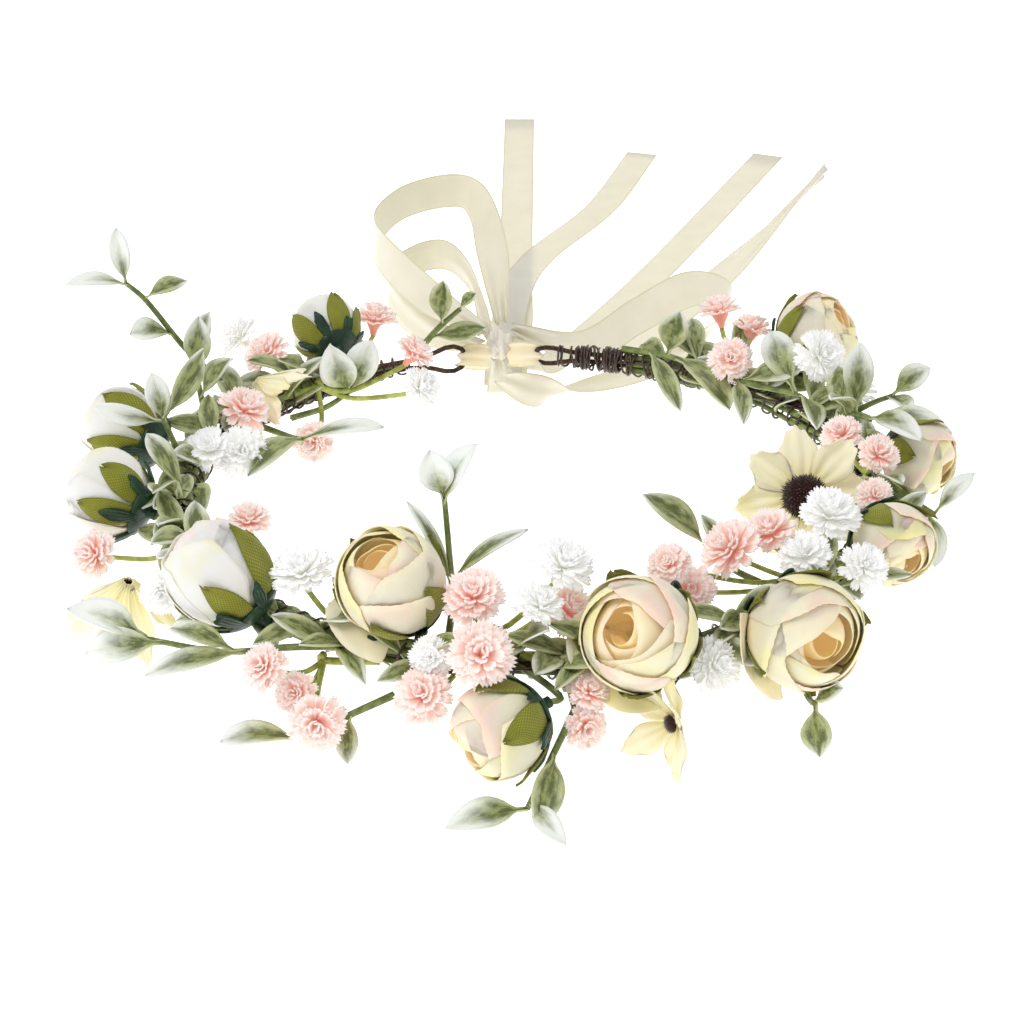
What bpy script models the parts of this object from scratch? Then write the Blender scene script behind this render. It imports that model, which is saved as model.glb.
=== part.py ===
"""Flower crown: a wire ring dressed with cloth roses, cosmos, sprigs and sprays, tied by a ribbon bow.

Origin: centre of the head opening, in the plane of the base wire. +Z up, +Y towards the bow, metres.
Everything on the ring is placed by its ring angle (from +X, seen from above), how far out of the ring
line it sits and how high, so it follows the ring when the ring's radius changes.
"""

import math

import bmesh
import bpy
from mathutils import Matrix, Vector

MM = 0.001
CLEARANCE = 0.4 * MM             # between pieces that seat on each other

# Base wire and the thin wire that binds stems to it
RING_RADIUS = 100.0 * MM
WIRE_RADIUS = 0.8 * MM
WIRE_PITCH = 2.6 * MM            # between the ring wire and the hairpin leg laid beside it
HAIRPIN_LEFT = (101.0, 4.5 * MM)     # ring angle of the loop's end, half its width
HAIRPIN_RIGHT = (89.0, 2.9 * MM)
HAIRPIN_LEFT_FOOT = 124.0        # ring angles where the folded-back legs stop
HAIRPIN_RIGHT_FOOT = 68.0
LOOP_SHARE = 0.38                # of a hairpin's length that is spread into a loop
HAIRPIN_SETTLE = 8.0             # degrees past a foot in which the long wire returns to the ring line
BINDING_RADIUS = 0.35 * MM
BINDING_GAP = 0.7 * MM
BINDING_TURNS = 4
BINDING_TURN_POINTS = 8
BINDING_LEFT = (112.0, 122.0)    # ring angles that each winding runs between
BINDING_RIGHT = (82.0, 72.0)
TABLE_DROP = 25.0 * MM           # the ring line above the surface that the crown lies on

# Flowers
ROSE_DIAMETER = 31.0 * MM
ROSE_MOUTH_DEPTH = 0.45          # height of the hollow in the petals' top, as a share of their radius
ROSE_MOUTH_SPREAD = 1.25         # how far the petals' rim opens
CUP_WALL = 0.6 * MM
CUP_FIT = 0.90                   # the petals inside the cup, as a share of its size
CUP_RIM = -0.2                   # height of the cup's rim between two sepals, as a share of its radius
CUP_FOOT = -0.5                  # below this share no sepal shows
SEPAL_TIP = 0.1                  # height of a sepal's tip, as a share of the cup's radius
SEPALS = 5
CUP_STUB = 4.0 * MM
COSMOS_DIAMETER = 40.0 * MM
COSMOS_PETALS = 8
COSMOS_WALL = 0.7 * MM
COSMOS_NOTCH = 0.8               # reach of the notch between two petals, as a share of a petal's
COSMOS_SINK = 0.2                # how far the flower sits back from its own point, as a share of its radius
COSMOS_CENTRE = 12.0 * MM
COSMOS_CENTRE_FLAT = 0.45        # height of the flocked centre as a share of its width
SPRAY_HEAD = 12.0 * MM
SPRAY_HEAD_FLAT = 0.8
SPRAY_HUB = 3.0 * MM
SPRAY_STEM = 0.8 * MM
SPRAY_ARCH = 0.12                # rise of a branch's middle, as a share of its length
SPRIG_STEM = 0.9 * MM
LEAF_THICKNESS = 1.0 * MM
LEAF_CURL = 0.06                 # rise of a leaf's middle, as a share of its length
STEM_BITE = 0.4 * MM             # how far a leaf or a branch starts inside the piece that it grows from

# Satin ribbon
RIBBON_WIDTH = 12.0 * MM
RIBBON_THICKNESS = 0.4 * MM
EYE_WIDTH = 5.0 * MM
EYE_REACH = 3.0 * MM             # how far the eye turns in behind the end of the wire loop
KNOT_ANGLE = 95.0
KNOT_OUT = 4.0 * MM
KNOT_UP = 2.0 * MM
KNOT_SIZE = (9.0 * MM, 8.0 * MM, 9.0 * MM)
KNOT_BEVEL = 2.4 * MM

SPANS = 4                        # steps of a smooth route between two of its given points

# In the tables, angles are degrees and every other length is millimetres.

# name: ring angle, out, up, size share, facing angle in plan, facing pitch
ROSES = {
    "rose_01": (125.5, 10, 14, 0.76, 115, 15),
    "rose_02": (167, 24, 8, 1.0, 150, 8),
    "rose_03": (183.5, 22, 4, 1.0, 158, 14),
    "rose_04": (221.6, 12, 14, 1.0, 160, 42),
    "rose_05": (248.6, -2, 20, 0.96, 232, 54),
    "rose_06": (266.5, 21, -8, 0.87, 212, -14),
    "rose_07": (285, 12, 14, 1.05, 248, 34),
    "rose_08": (308.4, 19, 6, 1.04, 295, 10),
    "rose_09": (336.5, 12, 7, 0.8, 303, -12),
    "rose_10": (7, 18, 5, 0.76, 328, -3),
    "rose_11": (40, 19, 18, 0.9, 356, 44),
}
# The same, then how steeply the petals rise and the centre's share of its full size
COSMOS = {
    "cosmos_01": (345, -18, 10, 1.0, 270, 27, 0.25, 1.0),
    "cosmos_02": (287.5, 16.5, -6, 0.72, 297, -16, 0.75, 0.5),
    "cosmos_03": (206, 19, -2, 0.8, 188, 12, 0.75, 0.5),
    "cosmos_04": (145, 0, 7, 0.65, 260, 55, 0.75, 0.5),
}
# Sprays of small heads: hub on the ring, then each head's own ring angle, out and up
SPRAYS = {
    "spray_back_left": ((133, -4, 2.5), [(138, 9, 10), (136, 26, 10), (127, -16, 8)]),
    "spray_left": ((160, -6, -3), [(156, -6, 8), (147, -23, -3), (168, -13, 6), (193, -18, 0)]),
    "spray_left_front": ((238, 3, -6), [(236.7, 26, 2), (238.7, 18, -8), (244.4, 27, -8)]),
    "spray_front": (
        (262, -5, 5),
        [(256.5, 14, -3), (261, -2, 19), (264.5, 17, 11), (276.4, -10, 9), (275.8, -7, 24)],
    ),
    "spray_right_front": (
        (324, 0, 5),
        [(320, -1, 14), (310, -13, 15), (331, -4, 15), (323.4, 14, 11), (299, -10, 9)],
    ),
    "spray_back_right": ((55, 7, 6.5), [(59, 20, 12), (51.5, 14, 13), (46, -10, 13), (31.5, 4, 20)]),
}
# Leaf sprigs: root on the ring, the stem's further points from that root, then leaves as
# (share of the stem, leaf tip from the root, width)
SPRIGS = {
    "sprig_back_left_tall": (
        (146, 10, 5),
        [(-13, 0, 13), (-25, 0, 30), (-31, 0, 36)],
        [(1.0, (-33, -1, 55), 5), (0.97, (-46, -11, 40), 5), (0.45, (-30, -5, 22), 7),
         (0.3, (-6, -1, 27), 7), (0.7, (-13, 6, 34), 6)],
    ),
    "sprig_left": (
        (172, 4, 4),
        [(-2, -1, 8), (-4, -3, 15)],
        [(1.0, (7, 10, 32), 5), (0.95, (-23, -7, 21), 4), (0.9, (-7, 1, 28), 5)],
    ),
    "sprig_inner_left": (
        (141, -6, -3),
        [(10, 10, -1), (17, 17, 1)],
        [(1.0, (13, 10, 20), 8), (0.95, (24, 18, 18), 8)],
    ),
    "sprig_back": (
        (109, 2, 5),
        [(5, -2, 7), (12, -3, 14)],
        [(0.6, (7, -3, 24), 7), (1.0, (15, -4, 19), 3), (0.25, (18, 1, 5), 5)],
    ),
    "sprig_front_tall": (
        (257, -7, 3),
        [(1, 5, 9), (0, 11, 22), (-1, 13, 35)],
        [(1.0, (-5, 13, 49), 8), (0.96, (6, 13, 50), 7), (0.45, (19, 13, 24), 3),
         (0.4, (-9, 15, 31), 3)],
    ),
    "sprig_inner_right": (
        (316, -11, 4),
        [(-8, 1, 4), (-15, 3, 9)],
        [(0.97, (-32, 3, 26), 8), (0.6, (-16, 6, 18), 4)],
    ),
    "sprig_right": (
        (3, 3, 4),
        [(8, -6, -4), (16, -12, -7)],
        [(1.0, (28, -6, 3), 5), (0.9, (15, -25, -18), 6)],
    ),
    "sprig_left_front": (
        (242, 6, 2),
        [(-14, 1, -1), (-32, 4, -4), (-53, 11, -4)],
        [(1.0, (-74, 14, 4), 8), (0.92, (-69, 8, -7), 8), (0.55, (-52, -1, -9), 5),
         (0.6, (-46, 6, 2), 4)],
    ),
    "sprig_front_low": (
        (277, 7, -9),
        [(-6, -17, -4), (-13, -30, -13)],
        [(0.5, (-10, -38, -14), 7), (1.0, (-34, -38, -14), 8), (0.95, (-3, -46, -14), 6)],
    ),
    "sprig_right_front": (
        (313, 5, -9),
        [(4, -14, -6), (5, -25, -2)],
        [(1.0, (6, -34, -13), 7), (0.9, (12, -27, 4), 6)],
    ),
    "sprig_gap_right": (
        (72, -1, 5),
        [(14, -8, 1), (27, -19, 1)],
        [(0.5, (18, -5, 15), 8), (0.6, (32, -40, -3), 10), (0.3, (17, -36, -5), 4),
         (0.97, (46, -27, -2), 5)],
    ),
}
# Ribbon routes from the knot: point, width direction, width share. From its third point on, a tail
# lies down, and its height is counted from the surface under it.
TAILS = {
    "tail_01": [
        ((0, 6, -7), (1, 0, 0), 0.4),
        ((1, 13, -19), (1, 0, 0), 0.8),
        ((2, 24, 0), (1, 0, 0), 1.0),
        ((5, 76, 0), (1, 0, 0), 1.0),
        ((5, 132, 0), (1, 0, 0), 1.0),
        ((6, 288, 0), (1, 0, 0), 1.0),
    ],
    "tail_02": [
        ((-1, 7, -5), (1, 0, 0), 0.4),
        ((0, 16, -16), (1, 0, 0), 0.8),
        ((1, 28, 1.2), (1, 0, 0), 1.0),
        ((4, 96, 1.2), (1, -0.2, 0), 1.0),
        ((13, 136, 1.2), (1, -0.5, 0), 1.0),
        ((37, 187, 0.5), (1, -0.4, 0), 1.0),
        ((55, 248, 0), (1, -0.3, 0), 1.0),
    ],
    "tail_03": [
        ((2, 7, -3), (1, 0, 0), 0.4),
        ((8, 20, -13), (1, -0.5, 0), 0.8),
        ((16, 38, 2.4), (1, -0.5, 0), 1.0),
        ((52, 115, 0.5), (1, -0.45, 0), 1.0),
        ((105, 246, 0), (1, -0.4, 0), 1.0),
    ],
    "tail_04": [
        ((4, 6.5, -1), (0.8, -0.4, 0), 0.4),
        ((18, 20, -10), (1, -0.9, 0), 0.8),
        ((40, 46, 3.6), (1, -0.9, 0), 1.0),
        ((78, 117, 1.0), (1, -0.6, 0), 1.0),
        ((125, 220, 3.5), (0.3, -0.2, 1), 0.5),
    ],
}
LYING_FROM = 2                   # the first point of a tail that is down on the surface
LOOPS = {
    "bow_loop_left_outer": [
        ((-5, 2.5, 3.5), (0, 0.4, 1), 0.35),
        ((-25, 20, 10), (0, 0.5, 1), 1.0),
        ((-41, 45, 18), (0, 0.4, 1), 1.0),
        ((-34, 62, 24), (0, 0, 1), 1.0),
        ((-16, 68, 27), (0, 0, 1), 1.0),
        ((-7, 60, 25), (0.5, 0.2, 1), 1.0),
        ((-2, 34, 17), (1, 0.2, 0.6), 0.9),
        ((1, 6, 5.5), (1, 0, 0.2), 0.4),
    ],
    "bow_loop_left_inner": [
        ((-5.5, 4, -2.5), (0, 0.4, 1), 0.35),
        ((-24, 20, -3.5), (0, 0.5, 1), 0.8),
        ((-37, 42, 2), (0, 0.4, 1), 0.9),
        ((-31, 54, 6), (0, 0, 1), 0.9),
        ((-19, 57, 8), (0, 0, 1), 0.9),
        ((-10, 42, 6), (0, 0.2, 1), 0.8),
        ((-5, 20, 1), (0.6, 0, 1), 0.6),
        ((-2.5, 7, -1), (0.6, 0, 1), 0.3),
    ],
    "bow_loop_right": [
        ((4.4, 5.8, 3.4), (0, 0.45, 0.9), 0.3),
        ((27, 14, -7), (0, 0.45, 0.9), 0.9),
        ((46, 31, -3), (0, 0.45, 0.9), 1.0),
        ((64, 44, 1), (0, 0.45, 0.9), 1.0),
        ((77, 50, -5), (0.2, 0.8, 0.5), 1.0),
        ((72, 47, -15), (0.4, 1, -0.3), 1.0),
        ((57, 33, -20), (0.6, -0.8, 0), 1.0),
        ((34, 16, -21), (0.5, -0.8, 0), 1.0),
        ((14, 1, -17), (0.8, 0.5, 0.2), 0.9),
        ((0.5, -4.5, -9.5), (1, 0.1, 0), 0.6),
    ],
}

COLOURS = {
    "brown_wire": (0.045, 0.024, 0.014, 1.0),
    "rose_cloth": (0.90, 0.80, 0.66, 1.0),
    "sepal_cloth": (0.20, 0.26, 0.03, 1.0),
    "cosmos_cloth": (0.87, 0.80, 0.55, 1.0),
    "flock": (0.035, 0.008, 0.005, 1.0),
    "pink_plastic": (0.88, 0.48, 0.42, 1.0),
    "leaf_plastic": (0.17, 0.23, 0.10, 1.0),
    "satin": (0.84, 0.78, 0.60, 1.0),
}
ROUGHNESS = {"satin": 0.35, "leaf_plastic": 0.45, "sepal_cloth": 0.6}


def clear_scene():
    for thing in list(bpy.context.scene.objects):
        bpy.data.objects.remove(thing, do_unlink=True)


def collection(name):
    made = bpy.data.collections.new(name)
    bpy.context.scene.collection.children.link(made)
    return made


def material(name):
    made = bpy.data.materials.get(name)
    if made is None:
        made = bpy.data.materials.new(name)
        made.use_nodes = True
        shader = made.node_tree.nodes["Principled BSDF"]
        shader.inputs["Base Color"].default_value = COLOURS[name]
        shader.inputs["Roughness"].default_value = ROUGHNESS.get(name, 0.7)
        shader.inputs["Metallic"].default_value = 0.0
        made.diffuse_color = COLOURS[name]
    return made


def on_ring(angle, out=0.0, up=0.0):
    """A point by ring angle in degrees, and metres out of the ring line and above it."""
    turn = math.radians(angle)
    reach = RING_RADIUS + out
    return Vector((reach * math.cos(turn), reach * math.sin(turn), up))


def facing(angle, pitch):
    turn, tilt = math.radians(angle), math.radians(pitch)
    return Vector((math.cos(tilt) * math.cos(turn), math.cos(tilt) * math.sin(turn), math.sin(tilt)))


def millimetres(values):
    return Vector(values) * MM


def smooth_route(points, spans=SPANS):
    """Points read from a smooth curve through the given ones."""
    ends = [points[0] * 2 - points[1]] + list(points) + [points[-1] * 2 - points[-2]]
    route = []
    for a, b, c, d in zip(ends, ends[1:], ends[2:], ends[3:]):
        for step in range(spans):
            t = step / spans
            slope = (c - a) * t
            bend = (2 * a - 5 * b + 4 * c - d) * t ** 2
            twist = (3 * b - a - 3 * c + d) * t ** 3
            route.append(0.5 * (2 * b + slope + bend + twist))
    return route + [points[-1].copy()]


def new_object(name, mesh, finish, group, parent):
    made = bpy.data.objects.new(name, mesh)
    group.objects.link(made)
    if finish:
        made.data.materials.append(material(finish))
    made.parent = parent
    return made


def mesh_from(bm, name):
    mesh = bpy.data.meshes.new(name)
    bmesh.ops.recalc_face_normals(bm, faces=bm.faces)
    bm.to_mesh(mesh)
    bm.free()
    mesh.shade_smooth()
    return mesh


def tube_curve(name, route, radius, finish, group, parent):
    """A round wire: a poly spline with a bevel and filled caps."""
    curve = bpy.data.curves.new(name, "CURVE")
    curve.dimensions = "3D"
    curve.bevel_depth = radius
    curve.bevel_resolution = 2
    curve.use_fill_caps = True
    spline = curve.splines.new("POLY")
    spline.points.add(len(route) - 1)
    for spot, at in zip(spline.points, route):
        spot.co = (*at, 1.0)
    return new_object(name, curve, finish, group, parent)


def tube_mesh(name, route, radius, finish, group, parent):
    """The same wire as a closed mesh, which a Boolean can join to others."""
    wire = tube_curve(name + "_curve", route, radius, None, group, None)
    view = bpy.context.evaluated_depsgraph_get()
    mesh = bpy.data.meshes.new_from_object(wire.evaluated_get(view))
    bpy.data.objects.remove(wire, do_unlink=True)
    bm = bmesh.new()
    bm.from_mesh(mesh)
    bmesh.ops.remove_doubles(bm, verts=bm.verts, dist=0.01 * MM)
    bmesh.ops.recalc_face_normals(bm, faces=bm.faces)
    bm.to_mesh(mesh)
    bm.free()
    mesh.name = name
    mesh.materials.clear()
    mesh.shade_smooth()
    return new_object(name, mesh, finish, group, parent)


def unite(base, tool):
    """Join a hidden cutter to a piece, so that the two are one closed body."""
    tool.hide_render = True
    tool.display_type = "WIRE"
    join = base.modifiers.new("join_" + tool.name, "BOOLEAN")
    join.operation = "UNION"
    join.solver = "EXACT"
    join.object = tool


# Base and binding wires

def hairpin(end, half_width, foot):
    """The loop at one end of the base wire, from its short leg's foot to the long wire.

    The two legs lie a wire pitch apart. Over the last part of their length, LOOP_SHARE, they spread to
    the loop's own width, and its end is round.
    """
    way = math.copysign(1.0, foot - end)
    reach = abs(foot - end)
    legs_apart = 0.5 * WIRE_PITCH
    short = []
    for share in (1.0, 0.7, 0.48, 0.34, 0.26, 0.18, 0.11, 0.05):
        opening = min(1.0, max(0.0, (LOOP_SHARE - share) / (0.6 * LOOP_SHARE)))
        spread = legs_apart + (half_width - legs_apart) * opening
        to_end = 1.0 - min(1.0, share / (0.42 * LOOP_SHARE))
        short.append((end + way * reach * share, -spread * math.sqrt(1.0 - to_end ** 2)))
    long = [(angle, -up) for angle, up in reversed(short)]
    settle = [(foot + way * 0.6 * HAIRPIN_SETTLE, 0.7 * legs_apart), (foot + way * HAIRPIN_SETTLE, 0.0)]
    return [on_ring(angle, 0.0, up) for angle, up in short + [(end, 0.0)] + long + settle]


def base_wire(group, parent):
    left = hairpin(*HAIRPIN_LEFT, HAIRPIN_LEFT_FOOT)
    right = hairpin(*HAIRPIN_RIGHT, HAIRPIN_RIGHT_FOOT)
    first = HAIRPIN_LEFT_FOOT + 2 * HAIRPIN_SETTLE
    last = 360.0 + HAIRPIN_RIGHT_FOOT - 2 * HAIRPIN_SETTLE
    count = 36
    ring = [on_ring(first + (last - first) * k / count) for k in range(count + 1)]
    tube_curve("base_wire", left + ring + right[::-1], WIRE_RADIUS, "brown_wire", group, parent)


def binding(name, span, group, parent):
    """A thin wire wound round the base wire between two ring angles."""
    start, end = span
    reach = 0.5 * WIRE_PITCH + WIRE_RADIUS + BINDING_GAP + BINDING_RADIUS
    count = BINDING_TURNS * BINDING_TURN_POINTS
    route = []
    for k in range(count + 1):
        turn = 2 * math.pi * k / BINDING_TURN_POINTS
        angle = start + (end - start) * k / count
        route.append(on_ring(angle, reach * math.cos(turn), reach * math.sin(turn)))
    tube_curve(name, route, BINDING_RADIUS, "brown_wire", group, parent)


# Flowers

def aim(thing, place, way):
    thing.location = place
    thing.rotation_mode = "QUATERNION"
    thing.rotation_quaternion = way.to_track_quat("Z", "Y")


def rose(name, spec, group, parent):
    angle, out, up, share, plan, pitch = spec
    place = on_ring(angle, out * MM, up * MM)
    way = facing(plan, pitch)
    radius = 0.5 * ROSE_DIAMETER * share
    inner = CUP_FIT * radius - CUP_WALL - CLEARANCE
    bm = bmesh.new()
    bmesh.ops.create_uvsphere(bm, u_segments=10, v_segments=8, radius=inner)
    for v in bm.verts:
        height = v.co.z / inner
        if height > 0.99:
            v.co.z = ROSE_MOUTH_DEPTH * inner
        elif height > 0.85:
            v.co.xy *= ROSE_MOUTH_SPREAD
    head = new_object(name + "_petals", mesh_from(bm, name + "_petals"), "rose_cloth", group, parent)
    aim(head, place, way)
    cup = new_object(name + "_calyx", calyx_mesh(name + "_calyx", radius), "sepal_cloth", group, parent)
    wall = cup.modifiers.new("wall", "SOLIDIFY")
    wall.thickness = CUP_WALL
    wall.offset = -1.0
    aim(cup, place, way)


def calyx_mesh(name, radius):
    """A cup under the petals: five sepals rise from its rim, and its foot draws out to the stem."""
    bm = bmesh.new()
    bmesh.ops.create_uvsphere(bm, u_segments=2 * SEPALS, v_segments=8, radius=radius)
    above = [v for v in bm.verts if v.co.z > CUP_RIM * radius]
    bmesh.ops.delete(bm, geom=above, context="VERTS")
    for v in bm.verts:
        if v.co.z < -0.99 * radius:
            v.co.z -= CUP_STUB
        elif v.co.z > CUP_FOOT * radius:
            slot = round(math.atan2(v.co.y, v.co.x) * SEPALS / math.pi)
            if slot % 2 == 0:
                v.co.z = SEPAL_TIP * radius
                v.co.xy = v.co.xy.normalized() * radius
    bmesh.ops.recalc_face_normals(bm, faces=bm.faces)
    if sum(f.normal.dot(f.calc_center_median()) for f in bm.faces) < 0:
        bmesh.ops.reverse_faces(bm, faces=bm.faces)
    mesh = bpy.data.meshes.new(name)
    bm.to_mesh(mesh)
    bm.free()
    mesh.shade_smooth()
    return mesh


def cosmos(name, spec, group, parent):
    """A shallow cup of petals with a notch between each two, and the flocked centre on it."""
    angle, out, up, share, plan, pitch, rise, centre_share = spec
    place = on_ring(angle, out * MM, up * MM)
    way = facing(plan, pitch)
    radius = 0.5 * COSMOS_DIAMETER * share
    rim_points = 3 * COSMOS_PETALS
    sink = COSMOS_SINK * radius
    bm = bmesh.new()
    bmesh.ops.create_circle(bm, segments=rim_points, radius=radius, cap_ends=True, cap_tris=True)
    for v in bm.verts:
        if v.co.length > 0.5 * radius:
            slot = round(math.atan2(v.co.y, v.co.x) * rim_points / (2 * math.pi))
            if slot % 3 == 0:
                v.co *= COSMOS_NOTCH
            v.co.z = rise * v.co.length - sink
        else:
            v.co.z = -1.5 * sink
    petals = new_object(name + "_petals", mesh_from(bm, name + "_petals"), "cosmos_cloth", group, parent)
    shell = petals.modifiers.new("cloth", "SOLIDIFY")
    shell.thickness = COSMOS_WALL
    shell.offset = 0.0
    aim(petals, place, way)

    disc = 0.5 * COSMOS_CENTRE * centre_share
    seat = rise * disc + COSMOS_WALL + CLEARANCE - sink
    bm = bmesh.new()
    bmesh.ops.create_uvsphere(bm, u_segments=10, v_segments=6, radius=disc)
    for v in bm.verts:
        v.co.z = COSMOS_CENTRE_FLAT * (v.co.z + disc) + seat
    centre = new_object(name + "_centre", mesh_from(bm, name + "_centre"), "flock", group, parent)
    aim(centre, place, way)


def ball_into(bm, place, radius, flat, way):
    """A flattened ball, turned a little so that its seam never runs along a branch's own edges."""
    made = bmesh.ops.create_uvsphere(bm, u_segments=8, v_segments=5, radius=radius)
    off_seam = Matrix.Rotation(0.3, 4, "Z")
    turn = way.to_track_quat("Z", "Y").to_matrix().to_4x4() @ off_seam
    flatten = Matrix.Diagonal((1, 1, flat, 1))
    bmesh.ops.transform(bm, matrix=Matrix.Translation(place) @ turn @ flatten, verts=made["verts"])


def spray(name, spec, group, cutters, parent):
    """A hub bound to the ring, and a branch from it to each small head."""
    hub_at, heads = spec
    hub = on_ring(hub_at[0], hub_at[1] * MM, hub_at[2] * MM)
    bm = bmesh.new()
    ball_into(bm, hub, SPRAY_HUB, 1.0, Vector((0, 0, 1)))
    body = new_object(name, mesh_from(bm, name), "pink_plastic", group, parent)
    for number, (angle, out, up) in enumerate(heads, 1):
        place = on_ring(angle, out * MM, up * MM)
        start = hub + (place - hub).normalized() * STEM_BITE
        arch = Vector((0, 0, SPRAY_ARCH * (place - hub).length))
        route = smooth_route([start, hub.lerp(place, 0.5) + arch, place], 1)
        unite(body, tube_mesh(f"{name}_branch_{number}", route, SPRAY_STEM, None, cutters, parent))
        bm = bmesh.new()
        ball_into(bm, place, 0.5 * SPRAY_HEAD, SPRAY_HEAD_FLAT, route[-1] - route[-2])
        ball = mesh_from(bm, f"{name}_head_{number}")
        unite(body, new_object(ball.name, ball, None, cutters, parent))


def leaf_mesh(name, start, tip, width):
    """A pointed leaf from its foot to its tip, thickest on the midrib and curling a little."""
    span = tip - start
    along = span.normalized()
    side = along.cross(Vector((0, 0, 1)))
    side = side.normalized() if side.length > 0.3 else Vector((1, 0, 0))
    over = side.cross(along)
    bm = bmesh.new()
    bmesh.ops.create_uvsphere(bm, u_segments=4, v_segments=6, radius=1.0)
    for v in bm.verts:
        t = 0.5 * (v.co.z + 1.0)
        at_pole = t < 0.001 or t > 0.999
        bulge = 0.0 if at_pole else math.sin(math.pi * t ** 0.85)
        edge, face = (0.0, 0.0) if at_pole else v.co.xy.normalized()
        out = 0.5 * width * bulge * edge
        lift = 0.5 * LEAF_THICKNESS * max(0.5, bulge) * face + LEAF_CURL * span.length * bulge
        v.co = start + span * t + side * out + over * lift
    return mesh_from(bm, name)


def sprig(name, spec, group, cutters, parent):
    root_at, bends, leaves = spec
    root = on_ring(root_at[0], root_at[1] * MM, root_at[2] * MM)
    route = smooth_route([root] + [root + millimetres(b) for b in bends], 2)
    stem = tube_mesh(name, route, SPRIG_STEM, "leaf_plastic", group, parent)
    for number, (share, tip, width) in enumerate(leaves):
        spot = share * (len(route) - 1)
        low = min(int(spot), len(route) - 2)
        start = route[low].lerp(route[low + 1], spot - low)
        end = root + millimetres(tip)
        if share == 1.0:
            start = start - (end - start).normalized() * STEM_BITE
        mesh = leaf_mesh(f"{name}_leaf_{number + 1}", start, end, width * MM)
        leaf = new_object(mesh.name, mesh, None, cutters, parent)
        unite(stem, leaf)


# Ribbon

def strip(name, route, widths, group, parent):
    """A ribbon laid along a route: a grid whose columns follow it, given its thickness by Solidify."""
    bm = bmesh.new()
    count = len(route)
    bmesh.ops.create_grid(bm, x_segments=count - 1, y_segments=1, size=1.0)
    for v in bm.verts:
        k = round(0.5 * (v.co.x + 1.0) * (count - 1))
        ahead = route[min(k + 1, count - 1)] - route[max(k - 1, 0)]
        across = widths[k] - ahead * (widths[k].dot(ahead) / ahead.length_squared)
        v.co = route[k] + across.normalized() * (0.5 * widths[k].length * v.co.y)
    made = new_object(name, mesh_from(bm, name), "satin", group, parent)
    shell = made.modifiers.new("satin", "SOLIDIFY")
    shell.thickness = RIBBON_THICKNESS
    shell.offset = 0.0
    return made


def ribbon(name, spec, knot, group, parent, lying):
    """A loop or a tail of the bow. A lying tail's curve stays between the heights of its given points."""
    floor = -TABLE_DROP + 0.5 * RIBBON_THICKNESS
    points, widths = [], []
    for number, (at, across, share) in enumerate(spec):
        point = knot + millimetres(at)
        if lying and number >= LYING_FROM:
            point.z = floor + at[2] * MM
        points.append(point)
        widths.append(Vector(across).normalized() * RIBBON_WIDTH * share)
    route = smooth_route(points)
    if lying:
        for number, point in enumerate(route[:-1]):
            span = number // SPANS
            point.z = max(point.z, min(points[span].z, points[span + 1].z))
    strip(name, route, smooth_route(widths), group, parent)


def knot_piece(group, parent):
    bm = bmesh.new()
    bmesh.ops.create_cube(bm, size=1.0)
    for v in bm.verts:
        v.co = Vector([share * size for share, size in zip(v.co, KNOT_SIZE)])
    piece = new_object("bow_knot", mesh_from(bm, "bow_knot"), "satin", group, parent)
    edge = piece.modifiers.new("soft_edges", "BEVEL")
    edge.width = KNOT_BEVEL
    edge.segments = 2


def eye(name, end, half_width, way, knot, group, parent):
    """The ribbon's turn round the end of a wire loop, open towards the knot.

    way is the loop's side of the knot: -1 towards -X, 1 towards +X.
    """
    wire = on_ring(end)
    mouth = knot.x + way * (0.5 * KNOT_SIZE[0] + CLEARANCE)
    clear = WIRE_RADIUS + 3 * CLEARANCE + RIBBON_THICKNESS
    route = [
        Vector((mouth, wire.y + clear + 1.0 * MM, 0)),
        Vector((wire.x, wire.y + clear, 0)),
        Vector((wire.x + way * (clear + EYE_REACH), wire.y, 0)),
        Vector((wire.x, wire.y - clear, 0)),
        Vector((mouth, wire.y - clear, 0)),
    ]
    across = [Vector((0, 0, min(EYE_WIDTH, half_width))) for _ in route]
    strip(name, smooth_route(route, 4), smooth_route(across, 4), group, parent)


def build():
    clear_scene()
    parts = collection("flower_crown")
    cutters = collection("cutters")
    root = bpy.data.objects.new("crown", None)
    parts.objects.link(root)
    knot = on_ring(KNOT_ANGLE, KNOT_OUT, KNOT_UP)

    base_wire(parts, root)
    binding("binding_wire_left", BINDING_LEFT, parts, root)
    binding("binding_wire_right", BINDING_RIGHT, parts, root)

    for name, spec in ROSES.items():
        rose(name, spec, parts, root)
    for name, spec in COSMOS.items():
        cosmos(name, spec, parts, root)
    for name, spec in SPRAYS.items():
        spray(name, spec, parts, cutters, root)
    for name, spec in SPRIGS.items():
        sprig(name, spec, parts, cutters, root)

    hinge = bpy.data.objects.new("bow_hinge", None)
    hinge.location = knot
    parts.objects.link(hinge)
    knot_piece(parts, hinge)
    to_hinge = Matrix.Translation(-knot)
    for name, spec in list(LOOPS.items()) + list(TAILS.items()):
        ribbon(name, spec, knot, parts, hinge, lying=name in TAILS)
        bpy.data.objects[name].data.transform(to_hinge)
    eye("ribbon_eye_left", *HAIRPIN_LEFT, -1, knot, parts, root)
    eye("ribbon_eye_right", *HAIRPIN_RIGHT, 1, knot, parts, root)


build()
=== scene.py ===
# %% [markdown]
# # A flower crown, from its frame to its petals
#
# The crown is a ring of wire with cloth roses, cosmos, small filler flowers and leaf sprigs wound on to
# it, and a satin ribbon tied in a bow at the back. The solid model gives every flower its place, so this
# lesson reads the places from there and grows the fine shapes around them: petals, woven sepals, fringed
# heads, leaves and ribbon.

# %% Load the solid model
import math
from functools import partial

import bmesh
import bpy
import numpy as np
from mathutils import Matrix, Vector


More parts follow.
